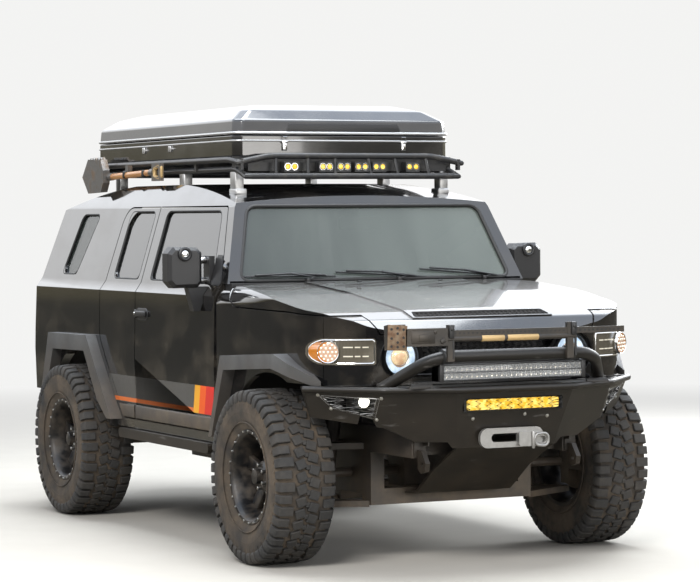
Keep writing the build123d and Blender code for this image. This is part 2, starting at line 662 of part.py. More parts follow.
# Knuckles: uprights on the steering axis with an arm, a brake disc and the stub for the wheel.
STUB = 32
STEER_X = 830
with BuildPart() as knuckle_left:
    add(box((STEER_X - 30, STEER_X + 22), (-40, 40), (320, 560)))
    add(box((STEER_X - 30, STEER_X + 5), (-170, -40), (400, 430)))
    with BuildSketch(side(STEER_X + 22)):
        with Locations((0, TYRE_RADIUS)):
            RegularPolygon(150, 24)
    extrude(amount=18)
    with BuildSketch(side(STEER_X + 30)):
        with Locations((0, TYRE_RADIUS)):
            Circle(STUB)
    extrude(amount=85)
with BuildPart() as knuckle_right:
    add(mirror(knuckle_left.part, about=Plane.YZ))
for hand, upright in (("left", knuckle_left), ("right", knuckle_right)):
    upright.part.label = "knuckle_" + hand
    export_step(upright.part, "parts/" + upright.part.label + ".step")

# Rear axle: beam with its differential, trailing arms, coil springs and dampers.
with BuildPart() as rear_axle:
    for x, length, radius in ((0, STEER_X + 24, 42), (STEER_X + 22, 18, 150)):
        with BuildSketch(side(x)):
            with Locations((WHEELBASE, TYRE_RADIUS)):
                RegularPolygon(radius, 24 if radius > 100 else 12)
        extrude(amount=length)
    with BuildSketch(side(STEER_X + 30)):
        with Locations((WHEELBASE, TYRE_RADIUS)):
            Circle(STUB)
    extrude(amount=85)
    add(box((0, 150), (2540, 2830), (300, 560)))
    add(rod((500, 2690, 420), (500, 1985, 516), 15))
    add(rod((422, 2680, 470), (422, 2680, 589), 50))
    add(rod((590, 2700, 450), (508, 2886, 676), 26))
    mirror(about=Plane.YZ)
rear_axle.part.label = "rear_axle"
export_step(rear_axle.part, "parts/rear_axle.step")

# Rear bumper: folded plate with its hitch receiver and a bore for the hitch pin.
RECEIVER = 51
with BuildPart() as rear_bumper:
    with BuildSketch(level(470)):
        add(outline(((-860, 3150, 0), (-800, 3150, 0), (-780, 3400, 30), (780, 3400, 30), (800, 3150, 0),
                     (860, 3150, 0), (860, 3440, 90), (760, 3520, 40), (-760, 3520, 40), (-860, 3440, 90))))
    extrude(amount=145)
    for shape in both_sides(box((RAIL_X, RAIL_X + 75), (3330, 3402), (500, 600))):
        add(shape)
    add(box((-38, 38), (3270, 3550), (390, 470)))
    add(box((-RECEIVER / 2, RECEIVER / 2), (3300, 3560), (405, 405 + RECEIVER)), mode=Mode.SUBTRACT)
    with BuildSketch(side(-50)):
        with Locations((3490, 405 + RECEIVER / 2)):
            Circle(8)
    extrude(amount=100, mode=Mode.SUBTRACT)
rear_bumper.part.label = "rear_bumper"
export_step(rear_bumper.part, "parts/rear_bumper.step")

# Wheels: lugged tyres over five-spoke rims.
SIDES = 16
PITCH = 360 / SIDES
LUG_DEPTH = 30
LUG_LENGTH = 94
# The tyre stands at its radius on the edges of the two lugs beside the lowest one.
LUG_TOP = (TYRE_RADIUS - LUG_LENGTH / 2 * sin(radians(PITCH / 2))) / cos(radians(PITCH / 2))
# Carcass as (x, radius), from bead to bead.
CARCASS = ((-114, 300), (-153, 345), (-153, 418), (153, 418), (153, 345), (114, 300))
# Lug rows as (inner x, outer x, phase in pitches): two rows, staggered, that meet along the middle.
LUG_ROWS = ((-TYRE_WIDTH / 2, 0, 0), (0, TYRE_WIDTH / 2, 0.5))


def lugged_tyre():
    """Mud tyre about the X axis: a carcass with flat sides under two staggered rows of lugs."""
    with BuildPart() as tyre:
        for across, radius in CARCASS:
            with BuildSketch(Plane.YZ.offset(across)):
                RegularPolygon(radius, SIDES, major_radius=False)
        loft(ruled=True)
        for low_x, high_x, phase in LUG_ROWS:
            with BuildSketch(Plane.YZ.offset(low_x)):
                with PolarLocations(LUG_TOP - LUG_DEPTH / 2, SIDES, start_angle=phase * PITCH):
                    Rectangle(LUG_DEPTH, LUG_LENGTH)
            extrude(amount=high_x - low_x)
        with BuildSketch(Plane.YZ.offset(-200)):
            RegularPolygon(RIM_RADIUS, SIDES, major_radius=False)
        extrude(amount=400, mode=Mode.SUBTRACT)
    return tyre.part


def spoked_rim():
    """Rim about the X axis, its face towards +X: barrel, two lips, five spokes and a bored hub."""
    with BuildPart() as rim:
        for low, high, radius in ((-127, 127, RIM_RADIUS - 0.5), (-127, -114.5, RIM_RADIUS + 18),
                                  (114.5, 127, RIM_RADIUS + 18)):
            with BuildSketch(Plane.YZ.offset(low)):
                RegularPolygon(radius, SIDES, major_radius=False)
                RegularPolygon(RIM_RADIUS - 16, SIDES, major_radius=False, mode=Mode.SUBTRACT)
            extrude(amount=high - low)
        with BuildSketch(Plane.YZ.offset(40)):
            RegularPolygon(78, SIDES)
            with PolarLocations(140, 5):
                Trapezoid(84, 150, 84, rotation=90)
        extrude(amount=34)
        with BuildSketch(Plane.YZ.offset(-20)):
            RegularPolygon(70, SIDES)
        extrude(amount=70)
        with BuildSketch(Plane.YZ.offset(-20)):
            Circle(STUB + 0.05)
        extrude(amount=100, mode=Mode.SUBTRACT)
    return rim.part


TYRE_FORM = lugged_tyre()
RIM_FORM = spoked_rim()
WHEELS = (("tyre_front_left", "rim_front_left", WHEEL_X, 0, TYRE_RADIUS, 0),
          ("tyre_front_right", "rim_front_right", -WHEEL_X, 0, TYRE_RADIUS, 180),
          ("tyre_rear_left", "rim_rear_left", WHEEL_X, WHEELBASE, TYRE_RADIUS, 0),
          ("tyre_rear_right", "rim_rear_right", -WHEEL_X, WHEELBASE, TYRE_RADIUS, 180),
          ("spare_tyre", "spare_rim", SPARE[0], SPARE[1], SPARE[2], 90))
for tyre_name, rim_name, x, y, z, turned in WHEELS:
    place = Location((x, FRONT_AXLE + y, z), (0, 0, turned))
    with BuildPart() as tyre:
        add(TYRE_FORM.moved(place))
    tyre.part.label = tyre_name
    export_step(tyre.part, "parts/" + tyre_name + ".step")
    with BuildPart() as rim:
        add(RIM_FORM.moved(place))
    rim.part.label = rim_name
    export_step(rim.part, "parts/" + rim_name + ".step")

# Roof rack: two levels of tube round five cross bars, on feet that stand on the roof.
RACK_TUBE = 16
RACK_BARS = (1010, 1520, 2030, 2540, 3050)
RACK_FRONT = 2066
# Rails as (height, half width, front station, height of the front tube).
RACK_RAILS = ((1996, 640, 880, 1957), (2046, 672, 905, 2030))
with BuildPart() as roof_rack:
    for height, half_width, front, front_height in RACK_RAILS:
        middle_height = RACK_FRONT if height > RACK_RAILS[0][0] else front_height
        add(tube([(0, front, middle_height), (490, front, middle_height), (half_width, front, front_height),
                  (half_width, front + 120, height), (half_width, 3120, height), (0, 3120, height)], RACK_TUBE))
    for station in RACK_BARS:
        add(box((0, 655), (station - 20, station + 20), (2004, 2064)))
    for station in (1040, 1753, 2740):
        add(box((600, 645), (station - 30, station + 30), (1840, 2000)) - outer_form)
    for station in (905, 1520, 2540, 3100):
        add(box((648, 664), (station - 14, station + 14), (1990, 2050)))
    add(box((0, 600), (941, 953), (1985, 2030)))
    for x in (99, 262, 452):
        add(box((x, x + 18), (880, 953), (1950, 1985)))
    mirror(about=Plane.YZ)
roof_rack.part.label = "roof_rack"
export_step(roof_rack.part, "parts/roof_rack.step")

# Roof tent: tray, mattress and a crowned hard lid hinged along its rear edge.
TENT = (-650, 650, 995, 3070)
TENT_SEAM = 2180


def tent_plan(inset, cut):
    """Plan of the tent with its corners cut, moved inwards by inset."""
    low_x, high_x, front, rear = TENT[0] + inset, TENT[1] - inset, TENT[2] + inset, TENT[3] - inset
    return plain(((low_x + cut, front), (high_x - cut, front), (high_x, front + cut), (high_x, rear - cut),
                  (high_x - cut, rear), (low_x + cut, rear), (low_x, rear - cut), (low_x, front + cut)))


with BuildPart() as tent_base:
    add(level_block(tent_plan(0, 40), 2064, TENT_SEAM))
    add(level_block(tent_plan(14, 34), 2078, TENT_SEAM), mode=Mode.SUBTRACT)
tent_base.part.label = "tent_base"
export_step(tent_base.part, "parts/tent_base.step")

with BuildPart() as tent_mattress:
    add(level_block(tent_plan(40, 30), 2078, 2145))
tent_mattress.part.label = "tent_mattress"
export_step(tent_mattress.part, "parts/tent_mattress.step")

LID_STEPS = ((2186, 0), (2262, 6), (2318, 90), (2350, 210))


def lid_form(inset):
    with BuildPart() as form:
        for height, tuck in LID_STEPS:
            with BuildSketch(level(height - (inset if tuck else inset))):
                add(outline(tent_plan(tuck + inset, 40)))
        loft(ruled=True)
    return form.part


with BuildPart() as tent_lid:
    add(lid_form(0) - lid_form(14))
tent_lid.part.label = "tent_lid"
export_step(tent_lid.part, "parts/tent_lid.step")

# Shovel: pressed blade, wooden shaft and a D-grip, strapped along the rack's right side.
with BuildPart() as shovel:
    add(rod((-718, 1990, 1996), (-718, 2760, 1978), 17))
    add(side_block(plain(((2700, 1946), (2740, 1892), (3020, 1886), (3120, 1984), (3020, 2090), (2740, 2084),
                          (2700, 2020))), -732, -716))
    add(side_block(plain(((2700, 1946), (2740, 1892), (2760, 1892), (2760, 2084), (2740, 2084), (2700, 2020))),
                   -758, -730))
    add(box((-730, -706), (1876, 2004), (1946, 2046)) - box((-740, -700), (1902, 1980), (1970, 2022)))
    add(box((-718, -690), (2400, 2440), (1984, 2044)))
shovel.part.label = "shovel"
export_step(shovel.part, "parts/shovel.step")

# Seats: two in front, one bench behind, each a plain closed form.
with BuildPart() as seats:
    profile = ((1130, FLOOR_TOP, 0), (1130, 960, 40), (1640, 900, 20), (1760, 1420, 30), (1860, 1420, 30),
               (1780, FLOOR_TOP, 0))
    add(side_block(profile, 200, 680))
    mirror(about=Plane.YZ)
    bench = ((1990, 708, 0), (1990, 960, 40), (2330, 920, 20), (2420, 1340, 30), (2510, 1340, 30),
             (2480, LOAD_FLOOR, 0), (2220, LOAD_FLOOR, 0))
    add(side_block(bench, -600, 600))
seats.part.label = "seats"
export_step(seats.part, "parts/seats.step")

# Dashboard: full-width moulding on the firewall with the console and steering wheel.
with BuildPart() as dashboard:
    dash = ((702, 1000, 0), (702, 1340, 0), (762, 1384, 0), (900, 1370, 50), (960, 1250, 40), (900, 1000, 30))
    add(side_block(dash, -840, 840) & inner_form)
    add(box((-110, 110), (880, 1120), (TUNNEL[2], 1010)))
    with BuildSketch(Plane(origin=(380, FRONT_AXLE + 1060, 1180), z_dir=(0, 0.85, 0.5))):
        RegularPolygon(190, 16)
        RegularPolygon(160, 16, mode=Mode.SUBTRACT)
        Rectangle(330, 40)
    extrude(amount=26)
    add(rod((380, 900, 1120), (380, 1056, 1180), 26))
dashboard.part.label = "dashboard"
export_step(dashboard.part, "parts/dashboard.step")
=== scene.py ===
from math import cos, pi, radians, sin, tan, tau

import bmesh
import bpy
from mathutils import Matrix, Vector
from mathutils.bvhtree import BVHTree


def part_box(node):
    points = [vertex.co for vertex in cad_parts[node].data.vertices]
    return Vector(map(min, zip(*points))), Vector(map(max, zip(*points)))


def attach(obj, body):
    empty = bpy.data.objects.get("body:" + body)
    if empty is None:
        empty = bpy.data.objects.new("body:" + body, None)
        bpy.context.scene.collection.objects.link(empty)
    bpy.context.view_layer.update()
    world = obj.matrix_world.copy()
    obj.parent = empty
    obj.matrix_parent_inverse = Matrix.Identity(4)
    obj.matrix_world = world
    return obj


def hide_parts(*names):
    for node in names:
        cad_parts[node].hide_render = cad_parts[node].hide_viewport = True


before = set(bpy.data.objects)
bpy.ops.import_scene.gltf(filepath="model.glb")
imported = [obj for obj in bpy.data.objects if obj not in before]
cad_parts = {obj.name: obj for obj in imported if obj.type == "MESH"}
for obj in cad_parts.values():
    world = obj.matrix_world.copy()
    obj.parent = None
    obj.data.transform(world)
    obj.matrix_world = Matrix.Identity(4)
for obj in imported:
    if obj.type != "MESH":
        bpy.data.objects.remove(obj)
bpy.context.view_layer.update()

# Camera: it stood about fourteen metres away, ahead and to the vehicle's right, at eye height.
# Stations run rearwards from the front axle in metres, as the vehicle's own sizes are given.
FRONT_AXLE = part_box("tyre_front_left")[0].y / 2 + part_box("tyre_front_left")[1].y / 2
REAR_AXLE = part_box("tyre_rear_left")[0].y / 2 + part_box("tyre_rear_left")[1].y / 2
PHOTO_WIDTH = 700
FOCAL_PIXELS = 2714
SENSOR = 36


def at(x, station, height):
    """Point in the frame from its width, its station behind the front axle and its height, in mm."""
    return Vector((x / 1000, FRONT_AXLE + station / 1000, height / 1000))


def line_at(*rows):
    """Points in the frame from rows of (width, station, height) in mm."""
    return [at(*row) for row in rows]


eye = at(-6504, -12375, 1742)
aim = at(-167, 593, 1341)
ROLL = -0.0072
camera_data = bpy.data.cameras.new("camera")
camera_data.sensor_width = SENSOR
camera_data.lens = SENSOR * FOCAL_PIXELS / PHOTO_WIDTH
camera_data.clip_end = 200
camera = bpy.data.objects.new("camera", camera_data)
bpy.context.scene.collection.objects.link(camera)
turn = (aim - eye).to_track_quat("-Z", "Y").to_matrix().to_4x4() @ Matrix.Rotation(ROLL, 4, "Z")
camera.matrix_world = Matrix.Translation(eye) @ turn
bpy.context.scene.camera = camera


# Floor and light: a pale studio floor, a soft key from the front right, a rim light behind.
# Floor and backdrop are pale to the camera; reflections show a hazy sky over a dim brown floor.
class Shade:
    """Socket of a material, which takes part in sums as a number does."""

    def __init__(self, tree, socket=None):
        self.tree = tree
        self.socket = socket

    def node(self, kind, settings=None, output=0, **values):
        """New node, its settings made first; a value's name is its socket's name or number."""
        made = self.tree.nodes.new("ShaderNode" + kind)
        for name, setting in (settings or {}).items():
            if name == "stops":
                stops = made.color_ramp.elements
                stops[0].position, stops[1].position = setting[0][0], setting[-1][0]
                for position, shade in setting[1:-1]:
                    stops.new(position)
                for stop, (position, shade) in zip(stops, setting):
                    stop.color = (*shade, 1)
            else:
                setattr(made, name, setting)
        for name, value in values.items():
            number = name.removeprefix("in_")
            socket = made.inputs[int(number) if number.isdigit() else name.replace("_", " ")]
            if isinstance(value, Shade):
                self.tree.links.new(value.socket, socket)
            elif socket.type == "RGBA" and len(value) == 3:
                socket.default_value = (*value, 1)
            else:
                socket.default_value = value
        return Shade(self.tree, made.outputs[output] if made.outputs else None)

    def math(self, operation, left, right=0.0, clamp=False):
        return self.node("Math", {"operation": operation, "use_clamp": clamp}, in_0=left, in_1=right)

    def __add__(self, other):
        return self.math("ADD", self, other)

    def __sub__(self, other):
        return self.math("SUBTRACT", self, other)

    def __rsub__(self, other):
        return self.math("SUBTRACT", other, self)

    def __mul__(self, other):
        return self.math("MULTIPLY", self, other)

    def __truediv__(self, other):
        return self.math("DIVIDE", self, other)

    def __gt__(self, other):
        return self.math("GREATER_THAN", self, other)

    def __lt__(self, other):
        return self.math("LESS_THAN", self, other)

    __radd__ = __add__
    __rmul__ = __mul__

    def most(self, other):
        return self.math("MAXIMUM", self, other)

    def clear(self):
        return self.math("ADD", self, 0.0, clamp=True)

    def place(self):
        """Object coordinates, which are the frame's own metres."""
        return self.node("TexCoord", output=3)

    def axes(self):
        """Width, station axis and height of a point, in metres."""
        point = self.place()
        return [self.node("SeparateXYZ", output=number, in_0=point) for number in range(3)]

    def noise(self, scale, detail=3.0, stretch=(1, 1, 1), roughness=0.55):
        point = self.node("Mapping", in_0=self.place(), Scale=stretch)
        return self.node("TexNoise", Vector=point, Scale=scale, Detail=detail, Roughness=roughness)

    def ramp(self, low, high):
        """Runs from 0 to 1 as the value goes from low to high."""
        return self.node("MapRange", Value=self, From_Min=low, From_Max=high)

    def mix(self, amount, first, second):
        return self.node("Mix", {"data_type": "RGBA"}, output=2, in_0=amount, in_6=first, in_7=second)

    def bump(self, height, strength, distance=0.001):
        return self.node("Bump", Height=height, Strength=strength, Distance=distance)


def finish(name):
    """Makes a material from the function below it, which gives the surface's values."""
    def make(values):
        material = bpy.data.materials.new(name)
        material.use_nodes = True
        material.node_tree.nodes.clear()
        start = Shade(material.node_tree)
        start.node("OutputMaterial", in_0=start.node("BsdfPrincipled", **values(start)))
        return material
    return make


# Sky in reflections as (level, colour), where 0.5 is the horizon: brown low down, bright haze above.
SKY_STOPS = ((0.0, (0.08, 0.07, 0.045)), (0.48, (0.16, 0.14, 0.09)), (0.512, (0.26, 0.24, 0.17)),
             (0.528, (0.72, 0.71, 0.68)), (0.57, (1.0, 1.0, 1.0)), (1.0, (0.62, 0.72, 0.88)))
# How much brighter than the backdrop the haze stands in reflections.
SKY_GLARE = 1.3
BACKDROP = (0.90, 0.90, 0.89)
world = bpy.data.worlds.new("studio")
bpy.context.scene.world = world
world.use_nodes = True
world.node_tree.nodes.clear()
sky = Shade(world.node_tree)
camera_ray, glossy_ray, clear_ray = [sky.node("LightPath", output=number) for number in (0, 3, 6)]
level = sky.node("SeparateXYZ", output=2, in_0=sky.node("TexCoord", output=0)) * 0.5 + 0.5
reflected_sky = sky.node("ValToRGB", {"stops": SKY_STOPS}, in_0=level)
seen = camera_ray.most(clear_ray)
shown = sky.mix(glossy_ray, (0.80, 0.84, 0.90), reflected_sky)
glare = glossy_ray * level.ramp(0.535, 0.66) * SKY_GLARE
sky.node("OutputWorld", in_0=sky.node("Background", Color=sky.mix(seen, shown, BACKDROP),
                                      Strength=seen.most(glossy_ray) * 0.5 + glare + 0.5))
bpy.context.scene.view_settings.view_transform = "Standard"

FLOOR_SIZE = 160
bpy.ops.mesh.primitive_plane_add(size=FLOOR_SIZE, location=(0, 0, 0))
floor = bpy.context.object
floor.name = "studio_floor"


@finish("studio_floor")
def floor_finish(shade):
    across, along, height = shade.axes()
    away = shade.math("SQRT", across * across + along * along)
    grain = shade.noise(3.0)
    near = shade.mix(grain, (0.62, 0.60, 0.56), (0.68, 0.66, 0.62))
    floor_seen = shade.mix(shade.node("LightPath", output=3) * 0.8, near, (0.13, 0.11, 0.07))
    lit = (shade.node("LightPath", output=0) * away.ramp(4.5, 13.0)).clear()
    return {"Base_Color": shade.mix(lit, floor_seen, (0, 0, 0)), "Roughness": 0.9, "Specular_IOR_Level": 0.0,
            "Emission_Color": shade.mix(lit, (0, 0, 0), BACKDROP), "Emission_Strength": 1.0}


floor.data.materials.append(floor_finish)


def soft_light(name, place, look, size, power, tint):
    """Rectangular lamp at a place, turned to look at another, its size in metres and power in watts."""
    lamp = bpy.data.lights.new(name, "AREA")
    lamp.shape = "RECTANGLE"
    lamp.size, lamp.size_y = size
    lamp.energy = power
    lamp.color = tint
    holder = bpy.data.objects.new(name, lamp)
    aimed = (look - place).to_track_quat("-Z", "Y").to_matrix().to_4x4()
    holder.matrix_world = Matrix.Translation(place) @ aimed
    bpy.context.scene.collection.objects.link(holder)


middle = at(0, 1300, 900)
soft_light("key", at(-7000, -6500, 7000), middle, (5, 3), 900, (1.0, 0.97, 0.93))
soft_light("overhead", at(500, 1500, 7500), middle, (7, 4), 700, (0.95, 0.98, 1.0))
soft_light("rim", at(7500, 5500, 4500), middle, (5, 3), 600, (0.95, 0.98, 1.0))
soft_light("low_front", at(1500, -8500, 1800), at(0, 0, 700), (5, 1.6), 160, (1.0, 0.98, 0.95))

# Ladder frame, suspension and driveline: painted steel and castings under a film of road dust.
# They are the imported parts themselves, each with the finish of its own metal.
TAN_DUST = (0.30, 0.22, 0.14)


def grimed(shade, clean, low, high, most=0.6):
    """Base colour with tan dust that thickens downwards between two heights."""
    height = shade.axes()[2]
    patches = shade.noise(7.0, detail=6.0).ramp(0.35, 0.7)
    amount = (1 - height.ramp(low, high)) * (patches * 0.7 + 0.3) * most
    return shade.mix(amount.clear(), clean, TAN_DUST), amount


def grained(shade, grain):
    """Fine relief of a surface, as (scale, strength) and, where it is given, detail."""
    scale, strength, *detail = grain
    return shade.bump(shade.noise(scale, *detail), strength)


def roughened(pattern, rough):
    """Roughness: a number stays as it is, and a (least, rise) pair follows the pattern."""
    return pattern * rough[1] + rough[0] if isinstance(rough, tuple) else rough


def dusted(name, clean, heights, most, rough, grain=None, **more):
    """Finish of one colour under tan dust that thickens downwards between two heights."""
    @finish(name)
    def made(shade):
        color, dust = grimed(shade, clean, *heights, most)
        relief = {"Normal": grained(shade, grain)} if grain else {}
        return {"Base_Color": color, "Roughness": roughened(dust, rough), **relief, **more}
    return made


def mottled(name, tones, rough, noise, ramp=None, share=None, relief=None, grain=None, **more):
    """Finish that runs between two tones in a pattern of noise, which can also be its relief."""
    @finish(name)
    def made(shade):
        pattern = shade.noise(*noise)
        if ramp:
            pattern = pattern.ramp(*ramp)
        values = {"Base_Color": shade.mix(pattern * share if share else pattern, *tones),
                  "Roughness": roughened(pattern, rough), **more}
        if relief:
            values["Normal"] = shade.bump(pattern, relief)
        if grain:
            values["Normal"] = grained(shade, grain)
        return values
    return made


frame_black = dusted("frame_black", (0.018, 0.018, 0.019), (0.25, 0.75), 0.45, (0.42, 0.5), (140.0, 0.15))
cast_aluminium = dusted("cast_aluminium", (0.20, 0.20, 0.20), (0.3, 0.9), 0.7, 0.6, (220.0, 0.3),
                        Metallic=0.6)
exhaust_steel = mottled("exhaust_steel", ((0.25, 0.24, 0.22), (0.20, 0.10, 0.05)), (0.4, 0.35), (24.0, 6.0),
                        (0.4, 0.65), Metallic=0.7)
tank_plastic = dusted("tank_plastic", (0.02, 0.02, 0.021), (0.3, 0.7), 0.6, 0.6)


def painted(piece, material):
    """Gives a piece one material and no other."""
    piece.data.materials.clear()
    piece.data.materials.append(material)


def coat(material, *nodes):
    """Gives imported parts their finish."""
    for node in nodes:
        painted(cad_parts[node], material)


coat(frame_black, "chassis_frame", "front_suspension", "rear_axle", "knuckle_left", "knuckle_right")
coat(cast_aluminium, "powertrain")
coat(exhaust_steel, "exhaust")
coat(tank_plastic, "fuel_tank")


# Tyres: mud-terrain rubber with blocks moulded round the tread and down the shoulders.
# One is made on the X axis and copied to the four wheels and the spare.
TYRE_RADIUS = 0.440
TYRE_HALF = 0.1575
BLOCKS = 44
# Carcass profile as (across, radius), from bead to bead.
HALF_CARCASS = ((0.118, 0.232), (0.139, 0.262), (0.152, 0.300), (0.1545, 0.345), (0.149, 0.385),
                (0.132, 0.418), (0.060, 0.4255))
CARCASS = (*[(-across, radius) for across, radius in HALF_CARCASS], (0.0, 0.427), *reversed(HALF_CARCASS))
# Points closer than this many metres are made one.
WELD = 0.00005
# Tread rows as (across, width, length round the tread, lean in degrees, phase in pitches).
TREAD_ROWS = ((-0.034, 0.052, 0.047, 18, 0.0), (0.034, 0.052, 0.047, -18, 0.5), (0.0, 0.020, 0.024, 0, 0.25))


def only(*pieces):
    """Selects these pieces and nothing else."""
    bpy.ops.object.select_all(action="DESELECT")
    for piece in pieces:
        piece.select_set(True)
    bpy.context.view_layer.objects.active = pieces[0]


def change(piece, kind, **settings):
    """Adds a modifier with its settings and applies it."""
    only(piece)
    modifier = piece.modifiers.new(kind.lower(), kind)
    for name, value in settings.items():
        setattr(modifier, name, value)
    bpy.ops.object.modifier_apply(modifier=modifier.name)


def settle(piece, smooth=35):
    """Puts the piece's place into its mesh and shades its gentle edges smooth."""
    only(piece)
    bpy.ops.object.transform_apply(location=True, rotation=True, scale=True)
    bpy.ops.object.shade_smooth_by_angle(angle=radians(smooth))
    return piece


def edit(piece, operator, **settings):
    """Runs one of Blender's mesh operators on the whole of a piece."""
    only(piece)
    bpy.ops.object.mode_set(mode="EDIT")
    bpy.ops.mesh.select_all(action="SELECT")
    operator(**settings)
    bpy.ops.object.mode_set(mode="OBJECT")
    return piece


def shaped(points, edges, faces):
    """New piece from its points, edges and faces."""
    mesh = bpy.data.meshes.new("piece")
    mesh.from_pydata(points, edges, faces)
    piece = bpy.data.objects.new("piece", mesh)
    bpy.context.scene.collection.objects.link(piece)
    return piece


def turned_out(piece):
    """Turns a piece's faces outwards again, after a spin or a mirrored place."""
    return edit(piece, bpy.ops.mesh.normals_make_consistent, inside=False)


def prism(near, far):
    """Closed piece between two outlines of as many points each."""
    count = len(near)
    faces = [tuple(range(count)), tuple(range(2 * count - 1, count - 1, -1))]
    faces += [(n, (n + 1) % count, (n + 1) % count + count, n + count) for n in range(count)]
    return turned_out(shaped(near + far, [], faces))


def twin(piece, name="twin"):
    """Copy of a piece with a mesh of its own."""
    copy = bpy.data.objects.new(name, piece.data.copy())
    bpy.context.scene.collection.objects.link(copy)
    return copy


def joined(pieces):
    """Makes one piece of several."""
    only(*pieces)
    if len(pieces) > 1:
        bpy.ops.object.join()
    return bpy.context.object


def lathed(profile, steps):
    """Profile of (across, radius) spun round the X axis."""
    piece = shaped([(across, 0, radius) for across, radius in profile],
                   [(step, step + 1) for step in range(len(profile) - 1)], [])
    edit(piece, bpy.ops.mesh.spin, steps=steps, angle=tau, center=(0, 0, 0), axis=(1, 0, 0))
    edit(piece, bpy.ops.mesh.remove_doubles, threshold=WELD)
    return turned_out(piece)


def block(size, place, bevel=0.0, segments=2, turned=(0, 0, 0)):
    """Block of a size, its middle at a place, with its edges rounded."""
    bpy.ops.mesh.primitive_cube_add(size=1, location=place, rotation=turned, scale=size)
    piece = bpy.context.object
    only(piece)
    bpy.ops.object.transform_apply(location=False, rotation=False, scale=True)
    if bevel:
        change(piece, "BEVEL", width=bevel, segments=segments)
    return piece


def ring_of(piece, count, phase=0.0):
    """Copies of a piece spread evenly round the X axis, joined as one."""
    settle(piece)
    around = []
    for step in range(count):
        copy = twin(piece)
        copy.data.transform(Matrix.Rotation(tau * (step + phase) / count, 4, "X"))
        around.append(copy)
    bpy.data.objects.remove(piece)
    return joined(around)


def sculpt(piece, move):
    """Moves each point of a mesh to where a function of its place puts it."""
    for vertex in piece.data.vertices:
        vertex.co = move(vertex.co)


def onto_crown(point):
    """Bends a flat tread block round the tyre: it follows the circle and the crown."""
    radius = point.z
    angle = point.y / TYRE_RADIUS
    return Vector((point.x, -radius * sin(angle), radius * cos(angle)))


def tread_block(across, width, length, lean, top, depth, bevel):
    """Tread lug at a width across the tyre, turned by its lean and bent round the tyre."""
    piece = edit(block((width, length, depth), (0, 0, 0)), bpy.ops.mesh.subdivide, number_cuts=1)
    change(piece, "BEVEL", width=bevel, segments=1, limit_method="ANGLE")
    piece.rotation_euler = (0, 0, radians(lean))
    piece.location = (across, 0, top - depth / 2)
    only(piece)
    bpy.ops.object.transform_apply(location=True, rotation=True, scale=True)
    sculpt(piece, onto_crown)
    return turned_out(piece)


def shoulder_block(hand, long):
    """Shoulder lug: wide on the tread, then bent down over the sidewall."""
    reach = 0.084 if long else 0.070
    half = 0.0235 if long else 0.021
    # Rows of (distance inwards from the tyre's side, radius).
    outline = ((0.012, 0.372), (0.0, 0.386), (0.002, 0.414), (0.014, 0.4335), (reach, 0.4398),
               (reach + 0.002, 0.424), (0.030, 0.412))
    piece = prism(*[[(hand * (TYRE_HALF - inwards), station, radius) for inwards, radius in outline]
                    for station in (-half, half)])
    change(piece, "BEVEL", width=0.0028, segments=1, limit_method="ANGLE")
    sculpt(piece, onto_crown)
    return turned_out(piece)


@finish("tyre_rubber")
def tyre_rubber(shade):
    grit = shade.noise(60.0, detail=6.0)
    smear = shade.noise(9.0, detail=5.0).ramp(0.4, 0.72)
    rubber = shade.mix(grit, (0.016, 0.016, 0.016), (0.045, 0.044, 0.043))
    color = shade.mix(smear * 0.3, rubber, (0.11, 0.09, 0.07))
    return {"Base_Color": color, "Roughness": 0.82, "Normal": shade.bump(grit, 0.25)}


@finish("dusty_sidewall")
def dusty_sidewall(shade):
    grit = shade.noise(45.0, detail=6.0)
    smear = shade.noise(6.0, detail=5.0).ramp(0.32, 0.62)
    dust = shade.mix(grit, (0.10, 0.075, 0.055), (0.20, 0.15, 0.10))
    color = shade.mix(smear * 0.6, (0.022, 0.021, 0.020), dust)
    return {"Base_Color": color, "Roughness": 0.9, "Normal": shade.bump(grit, 0.35)}


carcass = lathed(CARCASS, 88)
rows = [ring_of(tread_block(across, width, length, lean, TYRE_RADIUS, 0.024, 0.0035), BLOCKS, phase)
        for across, width, length, lean, phase in TREAD_ROWS]
for hand, phase in ((-1, 0.25), (1, 0.75)):
    rows.append(ring_of(shoulder_block(hand, True), BLOCKS // 2, phase / 2))
    rows.append(ring_of(shoulder_block(hand, False), BLOCKS // 2, phase / 2 + 0.5))
ribs = []
for hand in (-1, 1):
    for radius, size in ((0.275, 0.004), (0.330, 0.005)):
        bpy.ops.mesh.primitive_torus_add(major_segments=72, minor_segments=6, major_radius=radius,
                                         minor_radius=size, location=(hand * 0.150, 0, 0),
                                         rotation=(0, pi / 2, 0))
        ribs.append(bpy.context.object)
    rib = block((0.008, 0.016, 0.036), (hand * 0.150, 0, 0.352), 0.002)
    ribs.append(ring_of(rib, BLOCKS))
tread = joined(rows)
wall = joined([carcass, *[settle(rib) for rib in ribs]])
painted(tread, tyre_rubber)
painted(wall, dusty_sidewall)
tyre_master = joined([wall, tread])
settle(tyre_master, 30)


# Rims: black cast five-spoke wheels with a bolted bead ring, spokes set deep behind it.
# The bolts are zinc-plated, and each hub has its own cap and six nuts.


def even(name, color, rough, grain=None, **more):
    """Finish of one colour and roughness."""
    @finish(name)
    def made(shade):
        relief = {"Normal": grained(shade, grain)} if grain else {}
        return {"Base_Color": color, "Roughness": rough, **relief, **more}
    return made


rim_black = mottled("rim_black", ((0.010, 0.010, 0.011), (0.14, 0.11, 0.08)), (0.28, 0.4), (16.0, 6.0),
                    (0.42, 0.7), share=0.4, Metallic=0.1)
bright_bolt = even("bright_bolt", (0.62, 0.62, 0.61), 0.28, Metallic=1.0)


